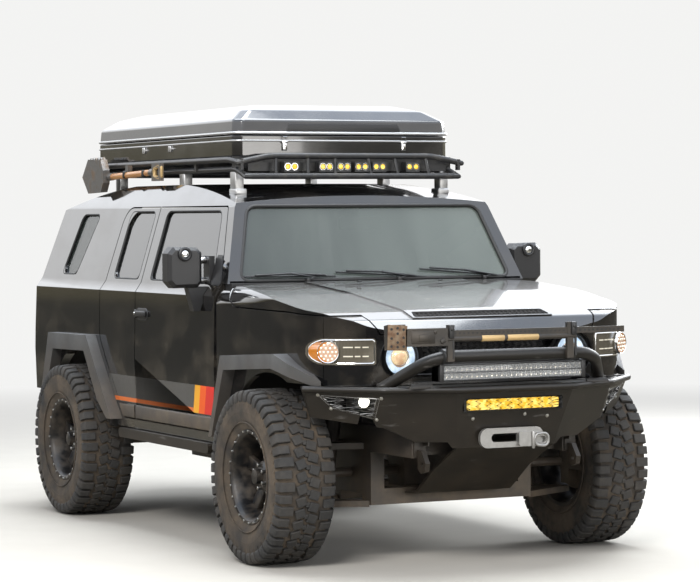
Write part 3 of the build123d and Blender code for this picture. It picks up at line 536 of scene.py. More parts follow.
def drum(radius, length, place, axis="X", sides=32, bevel=0.0):
    """Round bar about one of the axes, its middle at a place."""
    turned = {"X": (0, pi / 2, 0), "Y": (pi / 2, 0, 0), "Z": (0, 0, 0)}[axis]
    bpy.ops.mesh.primitive_cylinder_add(vertices=sides, radius=radius, depth=length, location=place,
                                        rotation=turned)
    piece = bpy.context.object
    if bevel:
        change(piece, "BEVEL", width=bevel, segments=2, limit_method="ANGLE")
    return piece


BARREL = ((-0.127, 0.240), (-0.127, 0.222), (-0.112, 0.214), (-0.070, 0.196), (0.02, 0.190), (0.075, 0.200),
          (0.108, 0.207), (0.122, 0.214), (0.1275, 0.222), (0.1275, 0.238), (0.120, 0.241), (0.112, 0.236),
          (0.108, 0.222), (0.0, 0.205), (-0.100, 0.222), (-0.114, 0.240), (-0.127, 0.240))
HUB_PAD = ((0.0, 0.0), (0.060, 0.0), (0.066, 0.030), (0.062, 0.052), (0.046, 0.078), (0.0, 0.082),
           (0.0, 0.0))
HUB_CAP = ((0.050, 0.0), (0.098, 0.0), (0.100, 0.022), (0.096, 0.037), (0.050, 0.040))
barrel = lathed(BARREL, 72)
spoke = block((0.030, 0.058, 0.150), (0.034, 0, 0.118), 0.0)
sculpt(spoke, lambda p: Vector((p.x - 0.02 * (p.z < 0), p.y * (1.25 if p.z > 0 else 0.95), p.z)))
change(spoke, "BEVEL", width=0.007, segments=2)
spokes = ring_of(spoke, 5)
rim_master = joined([barrel, spokes, lathed(HUB_PAD, 40), lathed(HUB_CAP, 32)])
settle(rim_master, 32)
bolts = ring_of(drum(0.0062, 0.010, (0.128, 0, 0.2305), "X", 6, 0.001), 24)
nuts = ring_of(drum(0.0095, 0.022, (0.070, 0, 0.057), "X", 6, 0.0015), 6)
bolt_master = joined([bolts, nuts])
settle(bolt_master)

# Wheels as (name, body, middle, turn about the vertical axis).
spare_low, spare_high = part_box("spare_tyre")
front, rear = FRONT_AXLE, REAR_AXLE
WHEELS = (("front_left", "wheel_front_left", (0.9, front, TYRE_RADIUS), 0),
          ("front_right", "wheel_front_right", (-0.9, front, TYRE_RADIUS), pi),
          ("rear_left", "wheel_rear_left", (0.9, rear, TYRE_RADIUS), 0),
          ("rear_right", "wheel_rear_right", (-0.9, rear, TYRE_RADIUS), pi),
          ("spare", "tailgate", (spare_low + spare_high) / 2, pi / 2))
for place, body, middle, turned in WHEELS:
    where = Matrix.Translation(Vector(middle)) @ Matrix.Rotation(turned, 4, "Z")
    tyre_node, rim_node = "tyre_" + place, "rim_" + place
    if place == "spare":
        tyre_node, rim_node = "spare_tyre", "spare_rim"
    for master, name, slot, node in ((tyre_master, "tyre", "tyre_rubber", tyre_node),
                                     (rim_master, "rim", "rim_black", rim_node),
                                     (bolt_master, "bolts", "jack_steel", None)):
        copy = twin(master, name + "_on_" + place)
        copy.data.transform(where)
        if master is not tyre_master:
            painted(copy, rim_black if master is rim_master else bright_bolt)
        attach(copy, body)
        if node:
            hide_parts(node)
for master in (tyre_master, rim_master, bolt_master):
    bpy.data.objects.remove(master)


# Body: steel panels in gloss black, their pressed edges rounded, with stripes low on the doors.
# Fine scratches and dust lie on the flanks, as driving off the road leaves them.
BAND = (0.700, 0.850)
BAND_STATIONS = (0.917, 2.187)
LINE = (0.704, 0.727)
BLOCK_EDGES = (0.664, 0.770, 0.849, 0.922)
BLOCK_LEAN = 0.25


@finish("gloss_black_paint")
def gloss_black(shade):
    across, along, height = shade.axes()
    station = along - FRONT_AXLE
    flank = shade.math("ABSOLUTE", across) > 0.86
    inside = (height > BAND[0]) * (height < BAND[1]) * flank
    band = inside * (station > BAND_STATIONS[0]) * (station < BAND_STATIONS[1])
    line = band * (height > LINE[0]) * (height < LINE[1])
    slanted = station - (BAND[1] - height) * BLOCK_LEAN
    red, orange, yellow = [inside * (slanted > low) * (slanted < high)
                           for low, high in zip(BLOCK_EDGES, BLOCK_EDGES[1:])]
    film = shade.noise(3.5, detail=7.0, stretch=(1, 1, 1.6)).ramp(0.45, 0.75)
    low_film = (1 - height.ramp(0.55, 1.25)) * 0.55
    dust = (film * (low_film + 0.12)).clear()
    lines = shade.noise(5.0, detail=9.0, stretch=(1, 0.5, 24.0), roughness=0.75).ramp(0.66, 0.74)
    scratches = lines * flank * 0.22
    color = shade.mix(dust, (0.0065, 0.0065, 0.0075), (0.20, 0.17, 0.13))
    color = shade.mix(scratches, color, (0.35, 0.33, 0.30))
    grit = shade.noise(90.0, detail=5.0)
    color = shade.mix(band, color, shade.mix(grit, (0.060, 0.058, 0.053), (0.105, 0.100, 0.092)))
    color = shade.mix(line, color, (0.72, 0.17, 0.035))
    color = shade.mix(yellow, color, (0.90, 0.42, 0.02))
    color = shade.mix(orange, color, (0.92, 0.12, 0.008))
    color = shade.mix(red, color, (0.72, 0.025, 0.015))
    film_on = band.most(red).most(orange).most(yellow)
    normal = shade.node("NewGeometry", output=1)
    facing_up = shade.node("SeparateXYZ", output=2, in_0=normal).ramp(0.80, 0.97)
    # Upward faces below the roof are painted lighter, most at the front: partly a haze of dust, partly a
    # painted sheen of the bright sky.
    top_dust_and_sheen = facing_up * (height < 1.6) * (0.55 - station.ramp(-0.2, 0.5) * 0.35)
    color = shade.mix(top_dust_and_sheen, color, (0.50, 0.49, 0.48))
    rough = dust * 0.5 + scratches * 0.6 + film_on * 0.38 + facing_up * 0.16 + 0.07
    return {"Base_Color": color, "Roughness": rough, "Coat_Weight": (1 - dust * 1.6 - film_on * 0.8).clear(),
            "Coat_Roughness": 0.05, "Normal": shade.bump(shade.noise(320.0, detail=1.0), 0.02)}


tub_black = dusted("tub_black", (0.018, 0.018, 0.019), (0.4, 0.9), 0.5, 0.62, (180.0, 0.2))


# Two broad faces keep their own shading at a gentle crease where one of them has many corners.
# An area in square metres and a number of corners set the limits.
BROAD = 0.002
MANY_CORNERS = 7


def dressed(node, bevel, angle=30, segments=2, smooth=32):
    """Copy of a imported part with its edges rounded, which then stands for it."""
    piece = twin(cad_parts[node], node + "_pressed")
    only(piece)
    if piece.data.has_custom_normals:
        bpy.ops.mesh.customdata_custom_splitnormals_clear()
    edit(piece, bpy.ops.mesh.remove_doubles, threshold=WELD)
    edit(piece, bpy.ops.mesh.dissolve_limited, angle_limit=radians(0.6))
    change(piece, "BEVEL", width=bevel, segments=segments, limit_method="ANGLE", angle_limit=radians(angle))
    settle(piece, smooth)
    mesh = bmesh.new()
    mesh.from_mesh(piece.data)
    for edge in mesh.edges:
        sides = edge.link_faces
        broad = len(sides) == 2 and min(side.calc_area() for side in sides) > BROAD
        if broad and max(len(side.verts) for side in sides) > MANY_CORNERS:
            edge.smooth = False
    mesh.to_mesh(piece.data)
    mesh.free()
    change(piece, "WEIGHTED_NORMAL", keep_sharp=True, weight=100)
    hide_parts(node)
    return piece


def worn(piece, body, material):
    """Gives a piece its finish and slot, and lets it ride on its body."""
    painted(piece, material)
    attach(piece, body)
    return piece


FIXED_PANELS = ("body_sides", "roof_panel", "front_fenders", "front_fascia")
MOVING_PANELS = ("hood", "tailgate", "door_front_left", "door_front_right", "door_rear_left",
                 "door_rear_right")
for node in FIXED_PANELS + MOVING_PANELS:
    panel = dressed(node, 0.0015 if "door" in node else 0.0035)
    worn(panel, node if node in MOVING_PANELS else "body", gloss_black)
coat(tub_black, "cab_tub")


# Glass: green-grey laminated screen that mirrors a hazy sky, its base colour lighter towards the vehicle's
# left as a painted reflection, and dark tinted side panes.
# A black rubber holds each pane in its opening.
@finish("screen_glass")
def screen_glass(shade):
    reflection_streaks = shade.noise(3.0, detail=3.0, stretch=(1.6, 1, 0.25)) - 0.5
    across, along, height = shade.axes()
    # The windscreen's base colour lightens towards the vehicle's left in vertical streaks: a painted
    # reflection of the sky over the dark cabin. The quarter windows further back keep the dark colour.
    reflected_sky = (across.ramp(-0.8, 0.7) * 0.7 + reflection_streaks * 0.6 + 0.15).clear() * (along < FRONT_AXLE + 1.5)
    return {"Base_Color": shade.mix(reflected_sky, (0.035, 0.045, 0.042), (0.20, 0.235, 0.215)), "Roughness": 0.04,
            "Alpha": 0.66, "Coat_Weight": 0.5, "Coat_Roughness": 0.02}


tinted_glass = even("tinted_glass", (0.010, 0.012, 0.012), 0.02, Alpha=0.86, Coat_Weight=1.0,
                    Coat_Roughness=0.01)
black_rubber = even("black_rubber", (0.012, 0.012, 0.012), 0.55, (400.0, 0.1))


coat(screen_glass, "fixed_glass")
coat(tinted_glass, "door_glass_front_left", "door_glass_front_right", "door_glass_rear_left",
     "door_glass_rear_right", "tailgate_glass")


def finished(piece, name, body, material):
    """Names a piece and settles it, then gives it its finish, slot and body."""
    piece.name = name
    return worn(settle(piece), body, material)


def ribbon(points, radius, closed=True, corner=0.0, sides=2):
    """Round strip along points, its corners rounded, as a mesh."""
    count = len(points)
    edges = [(n, n + 1) for n in range(count - 1)] + ([(count - 1, 0)] if closed else [])
    piece = shaped([tuple(point) for point in points], edges, [])
    if corner:
        change(piece, "BEVEL", affect="VERTICES", width=corner, segments=5)
    only(piece)
    bpy.ops.object.convert(target="CURVE")
    piece = bpy.context.object
    piece.data.bevel_depth = radius
    piece.data.bevel_resolution = sides
    piece.data.use_fill_caps = True
    bpy.ops.object.convert(target="MESH")
    return bpy.context.object


# Windows as (name, body, pane's outline as station and height), seen from the side.
SIDE_WINDOWS = (("front", "door_front", ((778, 1392), (1668, 1392), (1668, 1772), (900, 1772))),
                ("rear", "door_rear", ((1836, 1392), (2228, 1392), (2212, 1772), (1836, 1772))),
                ("quarter", "body", ((2846, 1404), (3090, 1404), (2990, 1758), (2700, 1758))))
GLASSHOUSE = ((1378, 886), (1790, 762))
HANDS = (("left", 1), ("right", -1))


def flank_x(height, inset=6):
    """Half width of the glasshouse at a height, in mm, just inside its outer face."""
    (low, wide), (high, narrow) = GLASSHOUSE
    return wide + (narrow - wide) * (height - low) / (high - low) - inset


for hand, sign in HANDS:
    for name, body, outline in SIDE_WINDOWS:
        loop = [at(sign * flank_x(height), station, height) for station, height in outline]
        rubber = ribbon(loop, 0.007, corner=0.045)
        rider = body if body == "body" else body + "_" + hand
        finished(rubber, "window_rubber_%s_%s" % (name, hand), rider, black_rubber)
screen_loop = line_at((-806, 593, 1404), (806, 593, 1404), (690, 762, 1796), (-690, 762, 1796))
finished(ribbon(screen_loop, 0.011, corner=0.05), "screen_rubber", "body",
         black_rubber)
rear_loop = line_at((-520, 3408, 1400), (520, 3408, 1400), (470, 3332, 1745), (-470, 3332, 1745))
finished(ribbon(rear_loop, 0.009, corner=0.07), "tailgate_rubber", "tailgate",
         black_rubber)


# Door trim: moulded plastic cladding clipped along the foot of each door, its edges rounded.
# Each front door has a black handle over a scoop, with a bright lock behind it.
SKIN_X = 915


grained_plastic = dusted("grained_plastic", (0.030, 0.030, 0.031), (0.4, 1.1), 0.55, (0.52, 0.2),
                         (260.0, 0.35))
black_plastic = even("black_plastic", (0.016, 0.016, 0.017), 0.42, (300.0, 0.12))


@finish("chrome")
def chrome(shade):
    smudges = shade.noise(30.0).ramp(0.2, 0.9)
    return {"Base_Color": (0.72, 0.72, 0.72), "Metallic": 1.0, "Roughness": smudges * 0.1 + 0.08}


def rounded(corners, radius=0, steps=5):
    """Outline with each of its corners turned into an arc; a corner's third value is its own radius."""
    arcs = []
    places = [Vector(corner[:2]) for corner in corners]
    for n, corner in enumerate(places):
        radius = corners[n][2] if len(corners[n]) > 2 else radius
        back = (places[n - 1] - corner).normalized()
        ahead = (places[(n + 1) % len(corners)] - corner).normalized()
        half = back.angle(ahead) / 2
        middle = corner + (back + ahead).normalized() * (radius / sin(half))
        start = corner + back * (radius / tan(half)) - middle
        end = corner + ahead * (radius / tan(half)) - middle
        for step in range(steps + 1):
            arcs.append(tuple(middle + start.lerp(end, step / steps).normalized() * radius))
    return arcs


def slab(outline, low, high, axis="X", bevel=0.0, segments=2):
    """Outline seen along an axis, carried between two places on it, in mm, its edges rounded."""
    place = {"X": lambda a, b, depth: at(depth, a, b), "Y": lambda a, b, depth: at(a, depth, b),
             "Z": lambda a, b, depth: at(a, b, depth)}[axis]
    piece = prism(*[[place(a, b, depth) for a, b in outline] for depth in (low, high)])
    if bevel:
        change(piece, "BEVEL", width=bevel / 1000, segments=segments, limit_method="ANGLE",
               angle_limit=radians(25))
    return piece


def about(middle, half):
    """Span given by its middle and half its length."""
    return middle - half, middle + half


def oblong(across, up):
    """Corners of a rectangle given by its two spans."""
    return [(across[0], up[0]), (across[1], up[0]), (across[1], up[1]), (across[0], up[1])]


def bar(x, station, height, bevel=0.0, segments=2):
    """Block given by its three spans in mm, its edges rounded."""
    return slab(oblong(x, height), *station, "Y", bevel, segments)


def placed(piece, place, towards=(0, 0, 1)):
    """Moves a piece made at the origin to a place, its Z axis turned towards a direction."""
    turned = Vector(towards).to_track_quat("Z", "Y").to_matrix().to_4x4()
    piece.data.transform(Matrix.Translation(place) @ turned)
    return piece


def turned_ring(profile, steps, place, towards):
    """Profile of (forward, radius) spun round a line from a place towards a direction."""
    piece = lathed(profile, steps)
    piece.data.transform(TO_Z)
    return placed(piece, place, towards)


def dome(radius, height, rings=6, sides=24):
    """Shallow dome about the Z axis, its rim at the origin."""
    bpy.ops.mesh.primitive_uv_sphere_add(segments=sides, ring_count=2 * rings, radius=1, location=(0, 0, 0))
    piece = edit(bpy.context.object, bpy.ops.mesh.bisect, plane_co=(0, 0, 0), plane_no=(0, 0, -1),
                 use_fill=True, clear_outer=True)
    piece.data.transform(Matrix.Diagonal((radius, radius, height, 1)))
    return piece


# Turns the X axis, which lathed pieces are made round, into the Z axis.
TO_Z = Matrix.Rotation(-pi / 2, 4, "Y")
CLADDING = (("door_front", oblong((664, 1776), (616, 690))),
            ("door_rear", ((1792, 616), (1966, 616), (2026, 690), (1792, 690))))
for hand, sign in HANDS:
    front_door = "door_front_" + hand
    for door, outline in CLADDING:
        strip = slab(outline, sign * SKIN_X, sign * (SKIN_X + 18), "X", 7, 3)
        finished(strip, "cladding_%s_%s" % (door, hand), door + "_" + hand, grained_plastic)
    scoop = slab(rounded(oblong((1592, 1758), (1168, 1236)), 30), sign * 920, sign * 928, "X", 3)
    finished(scoop, "handle_scoop_" + hand, front_door, black_plastic)
    grip = bar(about(sign * 938, 9), (1600, 1736), (1188, 1222), 8, 3)
    post = bar(about(sign * 932, 9), (1738, 1764), (1182, 1228), 6)
    finished(joined([grip, post]), "door_handle_" + hand, front_door, black_plastic)
    lock = placed(drum(0.009, 0.006, (0, 0, 0), "Z", 20, 0.001), at(sign * 943, 1751, 1205), (sign, 0, 0))
    finished(lock, "door_lock_" + hand, front_door, chrome)

# Flares, sliders and rear bumper: moulded arches on the wings, a steel tube along each sill, folded plate.
# The plastic has faded to grey; the steel is powder-coated with a fine orange peel.


@finish("faded_plastic")
def faded_plastic(shade):
    faded = shade.noise(4.0, detail=5.0).ramp(0.3, 0.75)
    up = shade.axes()[2].ramp(0.85, 1.06)
    clean = shade.mix(faded * up, (0.042, 0.043, 0.045), (0.13, 0.135, 0.14))
    color, dust = grimed(shade, clean, 0.6, 1.1, 0.3)
    return {"Base_Color": color, "Roughness": dust * 0.2 + 0.5, "Normal": grained(shade, (280.0, 0.3))}


@finish("powder_coat")
def powder_coat(shade):
    color, dust = grimed(shade, (0.012, 0.0105, 0.009), 0.3, 1.0, 0.10)
    scuff = shade.noise(6.0, detail=8.0, stretch=(1, 1, 6.0)).ramp(0.64, 0.74)
    return {"Base_Color": shade.mix(scuff * 0.3, color, (0.25, 0.24, 0.23)), "Specular_IOR_Level": 0.4,
            "Roughness": dust * 0.3 + scuff * 0.15 + 0.42, "Normal": grained(shade, (420.0, 0.18, 1.0))}


worn(dressed("fender_flares", 0.012, segments=3), "body", faded_plastic)
worn(dressed("rock_sliders", 0.004), "body", powder_coat)
worn(dressed("rear_bumper", 0.004), "body", powder_coat)


# Grille and headlamps: a black moulded mesh of diamonds, and round lamps in black bezels.
# Each lamp has a white ring round a projector, under a clear bowl.
GRILLE_STATION = -560
GRILLE_Z = (958, 1144)
LAMP_X, LAMP_Z = 480, 1050
FORWARD = (0, -1, 0)
DIAMOND = (36, 24)


clear_lens = even("clear_lens", (0.9, 0.93, 0.95), 0.02, Alpha=0.16, Coat_Weight=1.0)


@finish("halo_light")
def halo_light(shade):
    cells = shade.noise(30.0, detail=1.0).ramp(0.35, 0.65)
    return {"Base_Color": (0.5, 0.6, 0.7), "Roughness": 0.3, "Emission_Strength": 0.9,
            "Emission_Color": shade.mix(cells, (0.22, 0.36, 0.52), (0.72, 0.86, 1.0))}


@finish("lit_projector")
def lit_projector(shade):
    glow = shade.noise(26.0, detail=2.0).ramp(0.38, 0.62)
    return {"Base_Color": (0.75, 0.55, 0.32), "Roughness": 0.12, "Coat_Weight": 1.0,
            "Emission_Strength": 0.7,
            "Emission_Color": shade.mix(glow, (0.42, 0.16, 0.03), (0.95, 0.72, 0.34))}


lamp_bowl = even("lamp_bowl", (0.55, 0.57, 0.60), 0.22, Metallic=1.0)


def lattice(outline, across, up, thick, depth, place):
    """Diamond mesh of flat wires that fills an outline, as (across, up) in mm, at a depth."""
    low_a, high_a = min(a for a, b in outline), max(a for a, b in outline)
    low_b, high_b = min(b for a, b in outline), max(b for a, b in outline)
    columns, rows = int((high_a - low_a) / across) + 3, int((high_b - low_b) / up) + 3
    bpy.ops.mesh.primitive_grid_add(x_subdivisions=columns, y_subdivisions=rows, size=1)
    cells = bpy.context.object
    mesh = bmesh.new()
    for row in range(2 * rows + 1):
        for column in range(columns + 1):
            mesh.verts.new((low_a + (column - 1 + row % 2 / 2) * across, low_b + (row / 2 - 1) * up, 0))
    mesh.verts.ensure_lookup_table()
    wide = columns + 1
    for row in range(2 * rows - 1):
        for column in range(columns):
            shift = row % 2
            here = row * wide + column
            corners = [here + shift, (row + 1) * wide + column + 1, (row + 2) * wide + column + shift,
                       (row + 1) * wide + column]
            if column + shift <= columns:
                mesh.faces.new([mesh.verts[corner] for corner in corners])
    loose = [vertex for vertex in mesh.verts if not vertex.link_faces]
    bmesh.ops.delete(mesh, geom=loose, context="VERTS")
    count = len(outline)
    for n in range(count):
        here, there = Vector((*outline[n], 0)), Vector((*outline[(n + 1) % count], 0))
        side = (there - here).normalized()
        bmesh.ops.bisect_plane(mesh, geom=mesh.verts[:] + mesh.edges[:] + mesh.faces[:], plane_co=here,
                               plane_no=(side.y, -side.x, 0), clear_outer=True)
    mesh.to_mesh(cells.data)
    mesh.free()
    cells.data.transform(Matrix.Diagonal((0.001, 0.001, 0.001, 1)))
    change(cells, "WIREFRAME", thickness=thick / 1000, use_even_offset=False, use_boundary=True)
    cells.data.transform(Matrix.Diagonal((1, 1, depth / thick, 1)))
    sculpt(cells, place)
    return cells


def upright(station):
    """Puts a flat piece made of (x, z) in metres upright at a station."""
    return lambda p: Vector((p.x, FRONT_AXLE + station / 1000 - p.z, p.y))


grille_outline = rounded(oblong((-632, 632), GRILLE_Z), 50)
mesh_panel = lattice(grille_outline, DIAMOND[0], DIAMOND[1], 5, 12, upright(GRILLE_STATION))
backing = slab(grille_outline, GRILLE_STATION + 26, GRILLE_STATION + 30, "Y")
rim_strip = ribbon([at(x, GRILLE_STATION, height) for x, height in grille_outline], 0.007)
grille_piece = joined([mesh_panel, backing, rim_strip])
finished(grille_piece, "grille_panel", "body", black_plastic)
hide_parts("grille")

# Profiles of (depth, radius).
BEZEL = ((-0.030, 0.089), (0.002, 0.091), (0.010, 0.099), (0.006, 0.110), (-0.008, 0.115), (-0.030, 0.115))
BOWL = ((0.001, 0.0), (0.001, 0.045), (0.0015, 0.070), (0.003, 0.0895))
HALO = ((0.002, 0.050), (0.008, 0.054), (0.010, 0.066), (0.008, 0.080), (0.002, 0.084))
COLLAR = ((-0.020, 0.045), (0.004, 0.045), (0.008, 0.050), (-0.018, 0.056))
for hand, sign in HANDS:
    centre = at(sign * LAMP_X, GRILLE_STATION - 32, LAMP_Z)
    bezel = lathed(BEZEL, 64)
    bezel.data.transform(Matrix.Diagonal((1, 1, -1, 1)) @ TO_Z)
    turned_out(placed(bezel, centre, FORWARD))
    finished(bezel, "headlamp_bezel_" + hand, "body", black_plastic)
    finished(turned_ring(BOWL, 48, centre, FORWARD), "headlamp_bowl_" + hand, "body", lamp_bowl)
    halo = turned_ring(HALO, 56, centre, FORWARD)
    finished(halo, "headlamp_halo_" + hand, "body", halo_light)
    eyeball = placed(dome(0.043, 0.026), centre, FORWARD)
    finished(eyeball, "headlamp_projector_" + hand, "body", lit_projector)
    collar = turned_ring(COLLAR, 40, centre, FORWARD)
    finished(collar, "headlamp_collar_" + hand, "body", chrome)
    cover = placed(dome(0.089, 0.032, 8, 40), centre, FORWARD)
    finished(cover, "headlamp_cover_" + hand, "body", clear_lens)

# Corner lamps: a ribbed lens in a chrome frame, with an amber end, a round marker of small diodes
# and two rows of bright dashes. Frame, amber end and dashes are laid on the lamp's own skin.
# Outlines seen from the front as (x, height, corner's radius).
CORNER_OUTLINE = ((624, 1024, 12), (876, 1024, 50), (876, 1138, 50), (624, 1138, 12))
MARKER_RIM = ((-0.004, 0.050), (0.006, 0.050), (0.008, 0.053), (-0.004, 0.0555))
AMBER_END = ((836, 1031, 2), (877, 1031, 40), (877, 1131, 40), (836, 1131, 2))


@finish("corner_lens")
def corner_lens(shade):
    ribs = shade.node("TexWave", {"bands_direction": "X"}, Vector=shade.place(), Scale=55.0, Distortion=0.2)
    return {"Base_Color": shade.mix(ribs * 0.35, (0.13, 0.115, 0.09), (0.34, 0.31, 0.25)), "Metallic": 0.45,
            "Roughness": 0.2, "Coat_Weight": 1.0, "Normal": shade.bump(ribs, 0.25)}


amber_lens = mottled("amber_lens", ((0.42, 0.12, 0.01), (0.62, 0.24, 0.03)), 0.12, (70.0, 1.0),
                     Coat_Weight=1.0, Emission_Color=(0.8, 0.26, 0.02), Emission_Strength=0.18)
pearl_lens = mottled("pearl_lens", ((0.46, 0.26, 0.17), (0.62, 0.44, 0.34)), 0.1, (40.0, 1.0),
                     Coat_Weight=1.0, Emission_Color=(0.8, 0.5, 0.3), Emission_Strength=0.12)
bright_dash = even("bright_dash", (0.9, 0.86, 0.75), 0.15, Metallic=0.4, Emission_Color=(0.95, 0.88, 0.70),
                   Emission_Strength=0.25)


def mirrored(outline, sign):
    """Outline on the vehicle's side that the sign names."""
    return [(sign * across, up) for across, up in outline]


def skin(node, x, height, inward=Vector((0, 1, 0))):
    """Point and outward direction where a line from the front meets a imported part, in metres."""
    start = Vector((x / 1000, FRONT_AXLE - 3, height / 1000))
    found, point, normal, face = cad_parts[node].ray_cast(start, inward)
    return point, normal if normal.dot(inward) < 0 else -normal


def laid(piece, node, lift):
    """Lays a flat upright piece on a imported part's front skin, lifted off it in mm."""
    for vertex in piece.data.vertices:
        point, normal = skin(node, vertex.co.x * 1000, vertex.co.z * 1000)
        vertex.co = point + normal * (lift / 1000 + vertex.co.y)
    return turned_out(piece)


def flat(outline, thick, cuts=3):
    """Flat upright piece with a thickness, cut finely enough to be laid on a curve."""
    low, high = -thick / 2000, thick / 2000
    piece = slab(outline, 0, 1, "Y")
    for vertex in piece.data.vertices:
        vertex.co.y = low if vertex.co.y < FRONT_AXLE + 0.0005 else high
    edit(piece, bpy.ops.mesh.quads_convert_to_tris)
    for step in range(cuts):
        edit(piece, bpy.ops.mesh.subdivide, number_cuts=1)
    return piece


def strip_on(outline, node, radius, lift, step=12):
    """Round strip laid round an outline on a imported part's front skin."""
    loop = []
    for n, (x, height) in enumerate(outline):
        ahead, up = outline[(n + 1) % len(outline)]
        pieces = max(1, int(abs(ahead - x) / step))
        for part in range(pieces):
            where = skin(node, x + (ahead - x) * part / pieces, height + (up - height) * part / pieces)
            loop.append(where[0] + where[1] * lift / 1000)
    return ribbon(loop, radius)


for hand, sign in HANDS:
    finished(strip_on(mirrored(rounded(CORNER_OUTLINE), sign), "lamps", 0.0045, 1),
             "corner_lamp_frame_" + hand, "body", chrome)
    end = flat(mirrored(rounded(AMBER_END), sign), 3)
    finished(laid(end, "lamps", 2), "corner_lamp_amber_" + hand, "body", amber_lens)
    for row in (1059, 1103):
        for low, high in ((722, 762), (690, 714), (652, 680)):
            dash = flat(mirrored(oblong((low, high), about(row, 3)), sign), 3, 1)
            name = "corner_lamp_dash_%s_%d_%d" % (hand, row, low)
            finished(laid(dash, "lamps", 2), name, "body", bright_dash)
    outward = Vector((sign * 0.53, -0.848, 0))
    centre = at(sign * 829, -515, 1081)
    bed = placed(dome(0.0525, 0.006, 5, 40), centre, outward)
    finished(bed, "marker_bed_" + hand, "body", pearl_lens)
    edge = turned_ring(MARKER_RIM, 48, centre, outward)
    finished(edge, "marker_rim_" + hand, "body", chrome)
    diodes = []
    for count, radius in ((12, 0.039), (6, 0.021), (1, 0.0)):
        for step in range(count):
            angle = tau * step / count
            diode = dome(0.0062, 0.005, 3, 10)
            diode.data.transform(Matrix.Translation((radius * cos(angle), radius * sin(angle), 0.005)))
            diodes.append(diode)
    diodes = placed(joined(diodes), centre, outward)
    finished(diodes, "marker_diodes_" + hand, "body", bright_dash)
coat(corner_lens, "lamps")

# Front bumper: folded and welded plate with a rounded steel tube along its top edge and a hoop above.
# Holed plates are bolted over the pockets; a white pod shines through each, an amber bar in the middle.
TOP_LINE = ((-925, -431), (-640, -740), (-327, -900), (327, -900), (640, -740), (925, -431))
FACE_Z = (912, 609)
# The solid's hoop is cut away above this height in metres, and its tube follows the photo's straight legs.
HOOP_FOOT = 0.93
HOOP_LINE = ((-611, -660, 905), (-444, -889, 1062), (444, -889, 1062), (611, -660, 905))


white_light = even("white_light", (1, 1, 0.95), 0.5, Emission_Color=(1.0, 0.98, 0.82), Emission_Strength=3.5)


@finish("amber_light")
def amber_light(shade):
    hot = shade.noise(34.0, detail=1.0, stretch=(1, 1, 1.4)).ramp(0.42, 0.62)
    return {"Base_Color": (0.5, 0.3, 0.02), "Roughness": 0.3, "Emission_Strength": 1.05,
            "Emission_Color": shade.mix(hot, (0.80, 0.42, 0.01), (1.0, 0.80, 0.22))}


pale_steel = mottled("pale_steel", ((0.27, 0.27, 0.26), (0.42, 0.41, 0.40)), (0.32, 0.2), (50.0, 5.0),
                     relief=0.2, Metallic=0.75)


def wing_face(x, height):
    """Station of the bumper's wing face at a place on it, in mm."""
    down = (FACE_Z[0] - height) / (FACE_Z[0] - FACE_Z[1])
    return -740 + 113.6 * down + (abs(x) - 640 + 50 * down) * 309 / 285


def middle_face(height):
    """Station of the bumper's middle face at a height, in mm."""
    return -900 + 110 * (FACE_Z[0] - height) / (FACE_Z[0] - FACE_Z[1])


def bolt(place, outward, radius=0.008):
    """Domed bolt head on its washer."""
    washer = drum(radius * 1.5, 0.002, (0, 0, 0.001), "Z", 18, 0.0004)
    head = drum(radius, radius * 0.8, (0, 0, radius * 0.5), "Z", 6, 0.001)
    return placed(joined([settle(washer), settle(head)]), place, outward)


bumper = dressed("front_bumper", 0.0025)
edit(bumper, bpy.ops.mesh.bisect, plane_co=(0, 0, HOOP_FOOT), plane_no=(0, 0, 1), use_fill=True,
     clear_outer=True)
worn(bumper, "body", powder_coat)
top_tube = ribbon([at(x, station, 899) for x, station in TOP_LINE], 0.0165, closed=False,
                  corner=0.03, sides=4)
hoop = ribbon(line_at(*HOOP_LINE), 0.0305, closed=False, corner=0.1, sides=6)
finished(joined([top_tube, hoop]), "bumper_tubes", "body", powder_coat)

POCKET = ((645, 758), (806, 808), (864, 870), (645, 856))
for hand, sign in HANDS:
    wires = lattice(POCKET, 62, 30, 6, 5,
                    lambda p: at(p.x * 1000, wing_face(p.x * 1000, p.y * 1000) + 2 - p.z * 1000, p.y * 1000))
    sculpt(wires, lambda p: Vector((sign * p.x, p.y, p.z)))
    if sign < 0:
        turned_out(wires)
    finished(wires, "pocket_mesh_" + hand, "body", pale_steel)
    outward = Vector((sign * 0.688, -0.634, -0.351))
    heads = [bolt(at(sign * x, wing_face(x, height), height), outward, 0.006)
             for x, height in ((866, 872), (808, 805), (640, 860), (638, 754))]
    finished(joined(heads), "pocket_bolts_" + hand, "body", bright_bolt)
    lens = placed(dome(0.029, 0.012, 5, 28), at(sign * 672, -586, 838), FORWARD)
    finished(lens, "pocket_pod_lens_" + hand, "body", white_light)

glow = slab(rounded(oblong((-256, 256), (797, 848)), 10), -866, -862.5, "Y")
finished(glow, "amber_bar_lens", "body", amber_light)
bar_mesh = lattice(oblong((-270, 270), (790, 854)), 58, 25, 7, 5, upright(-873))
finished(bar_mesh, "amber_bar_mesh", "body", black_rubber)
heads = [bolt(at(x, middle_face(height), height), (0, -0.94, -0.341), 0.006)
         for x, height in ((-211, 754), (75, 767), (204, 754))]
finished(joined(heads), "bumper_middle_bolts", "body", bright_bolt)

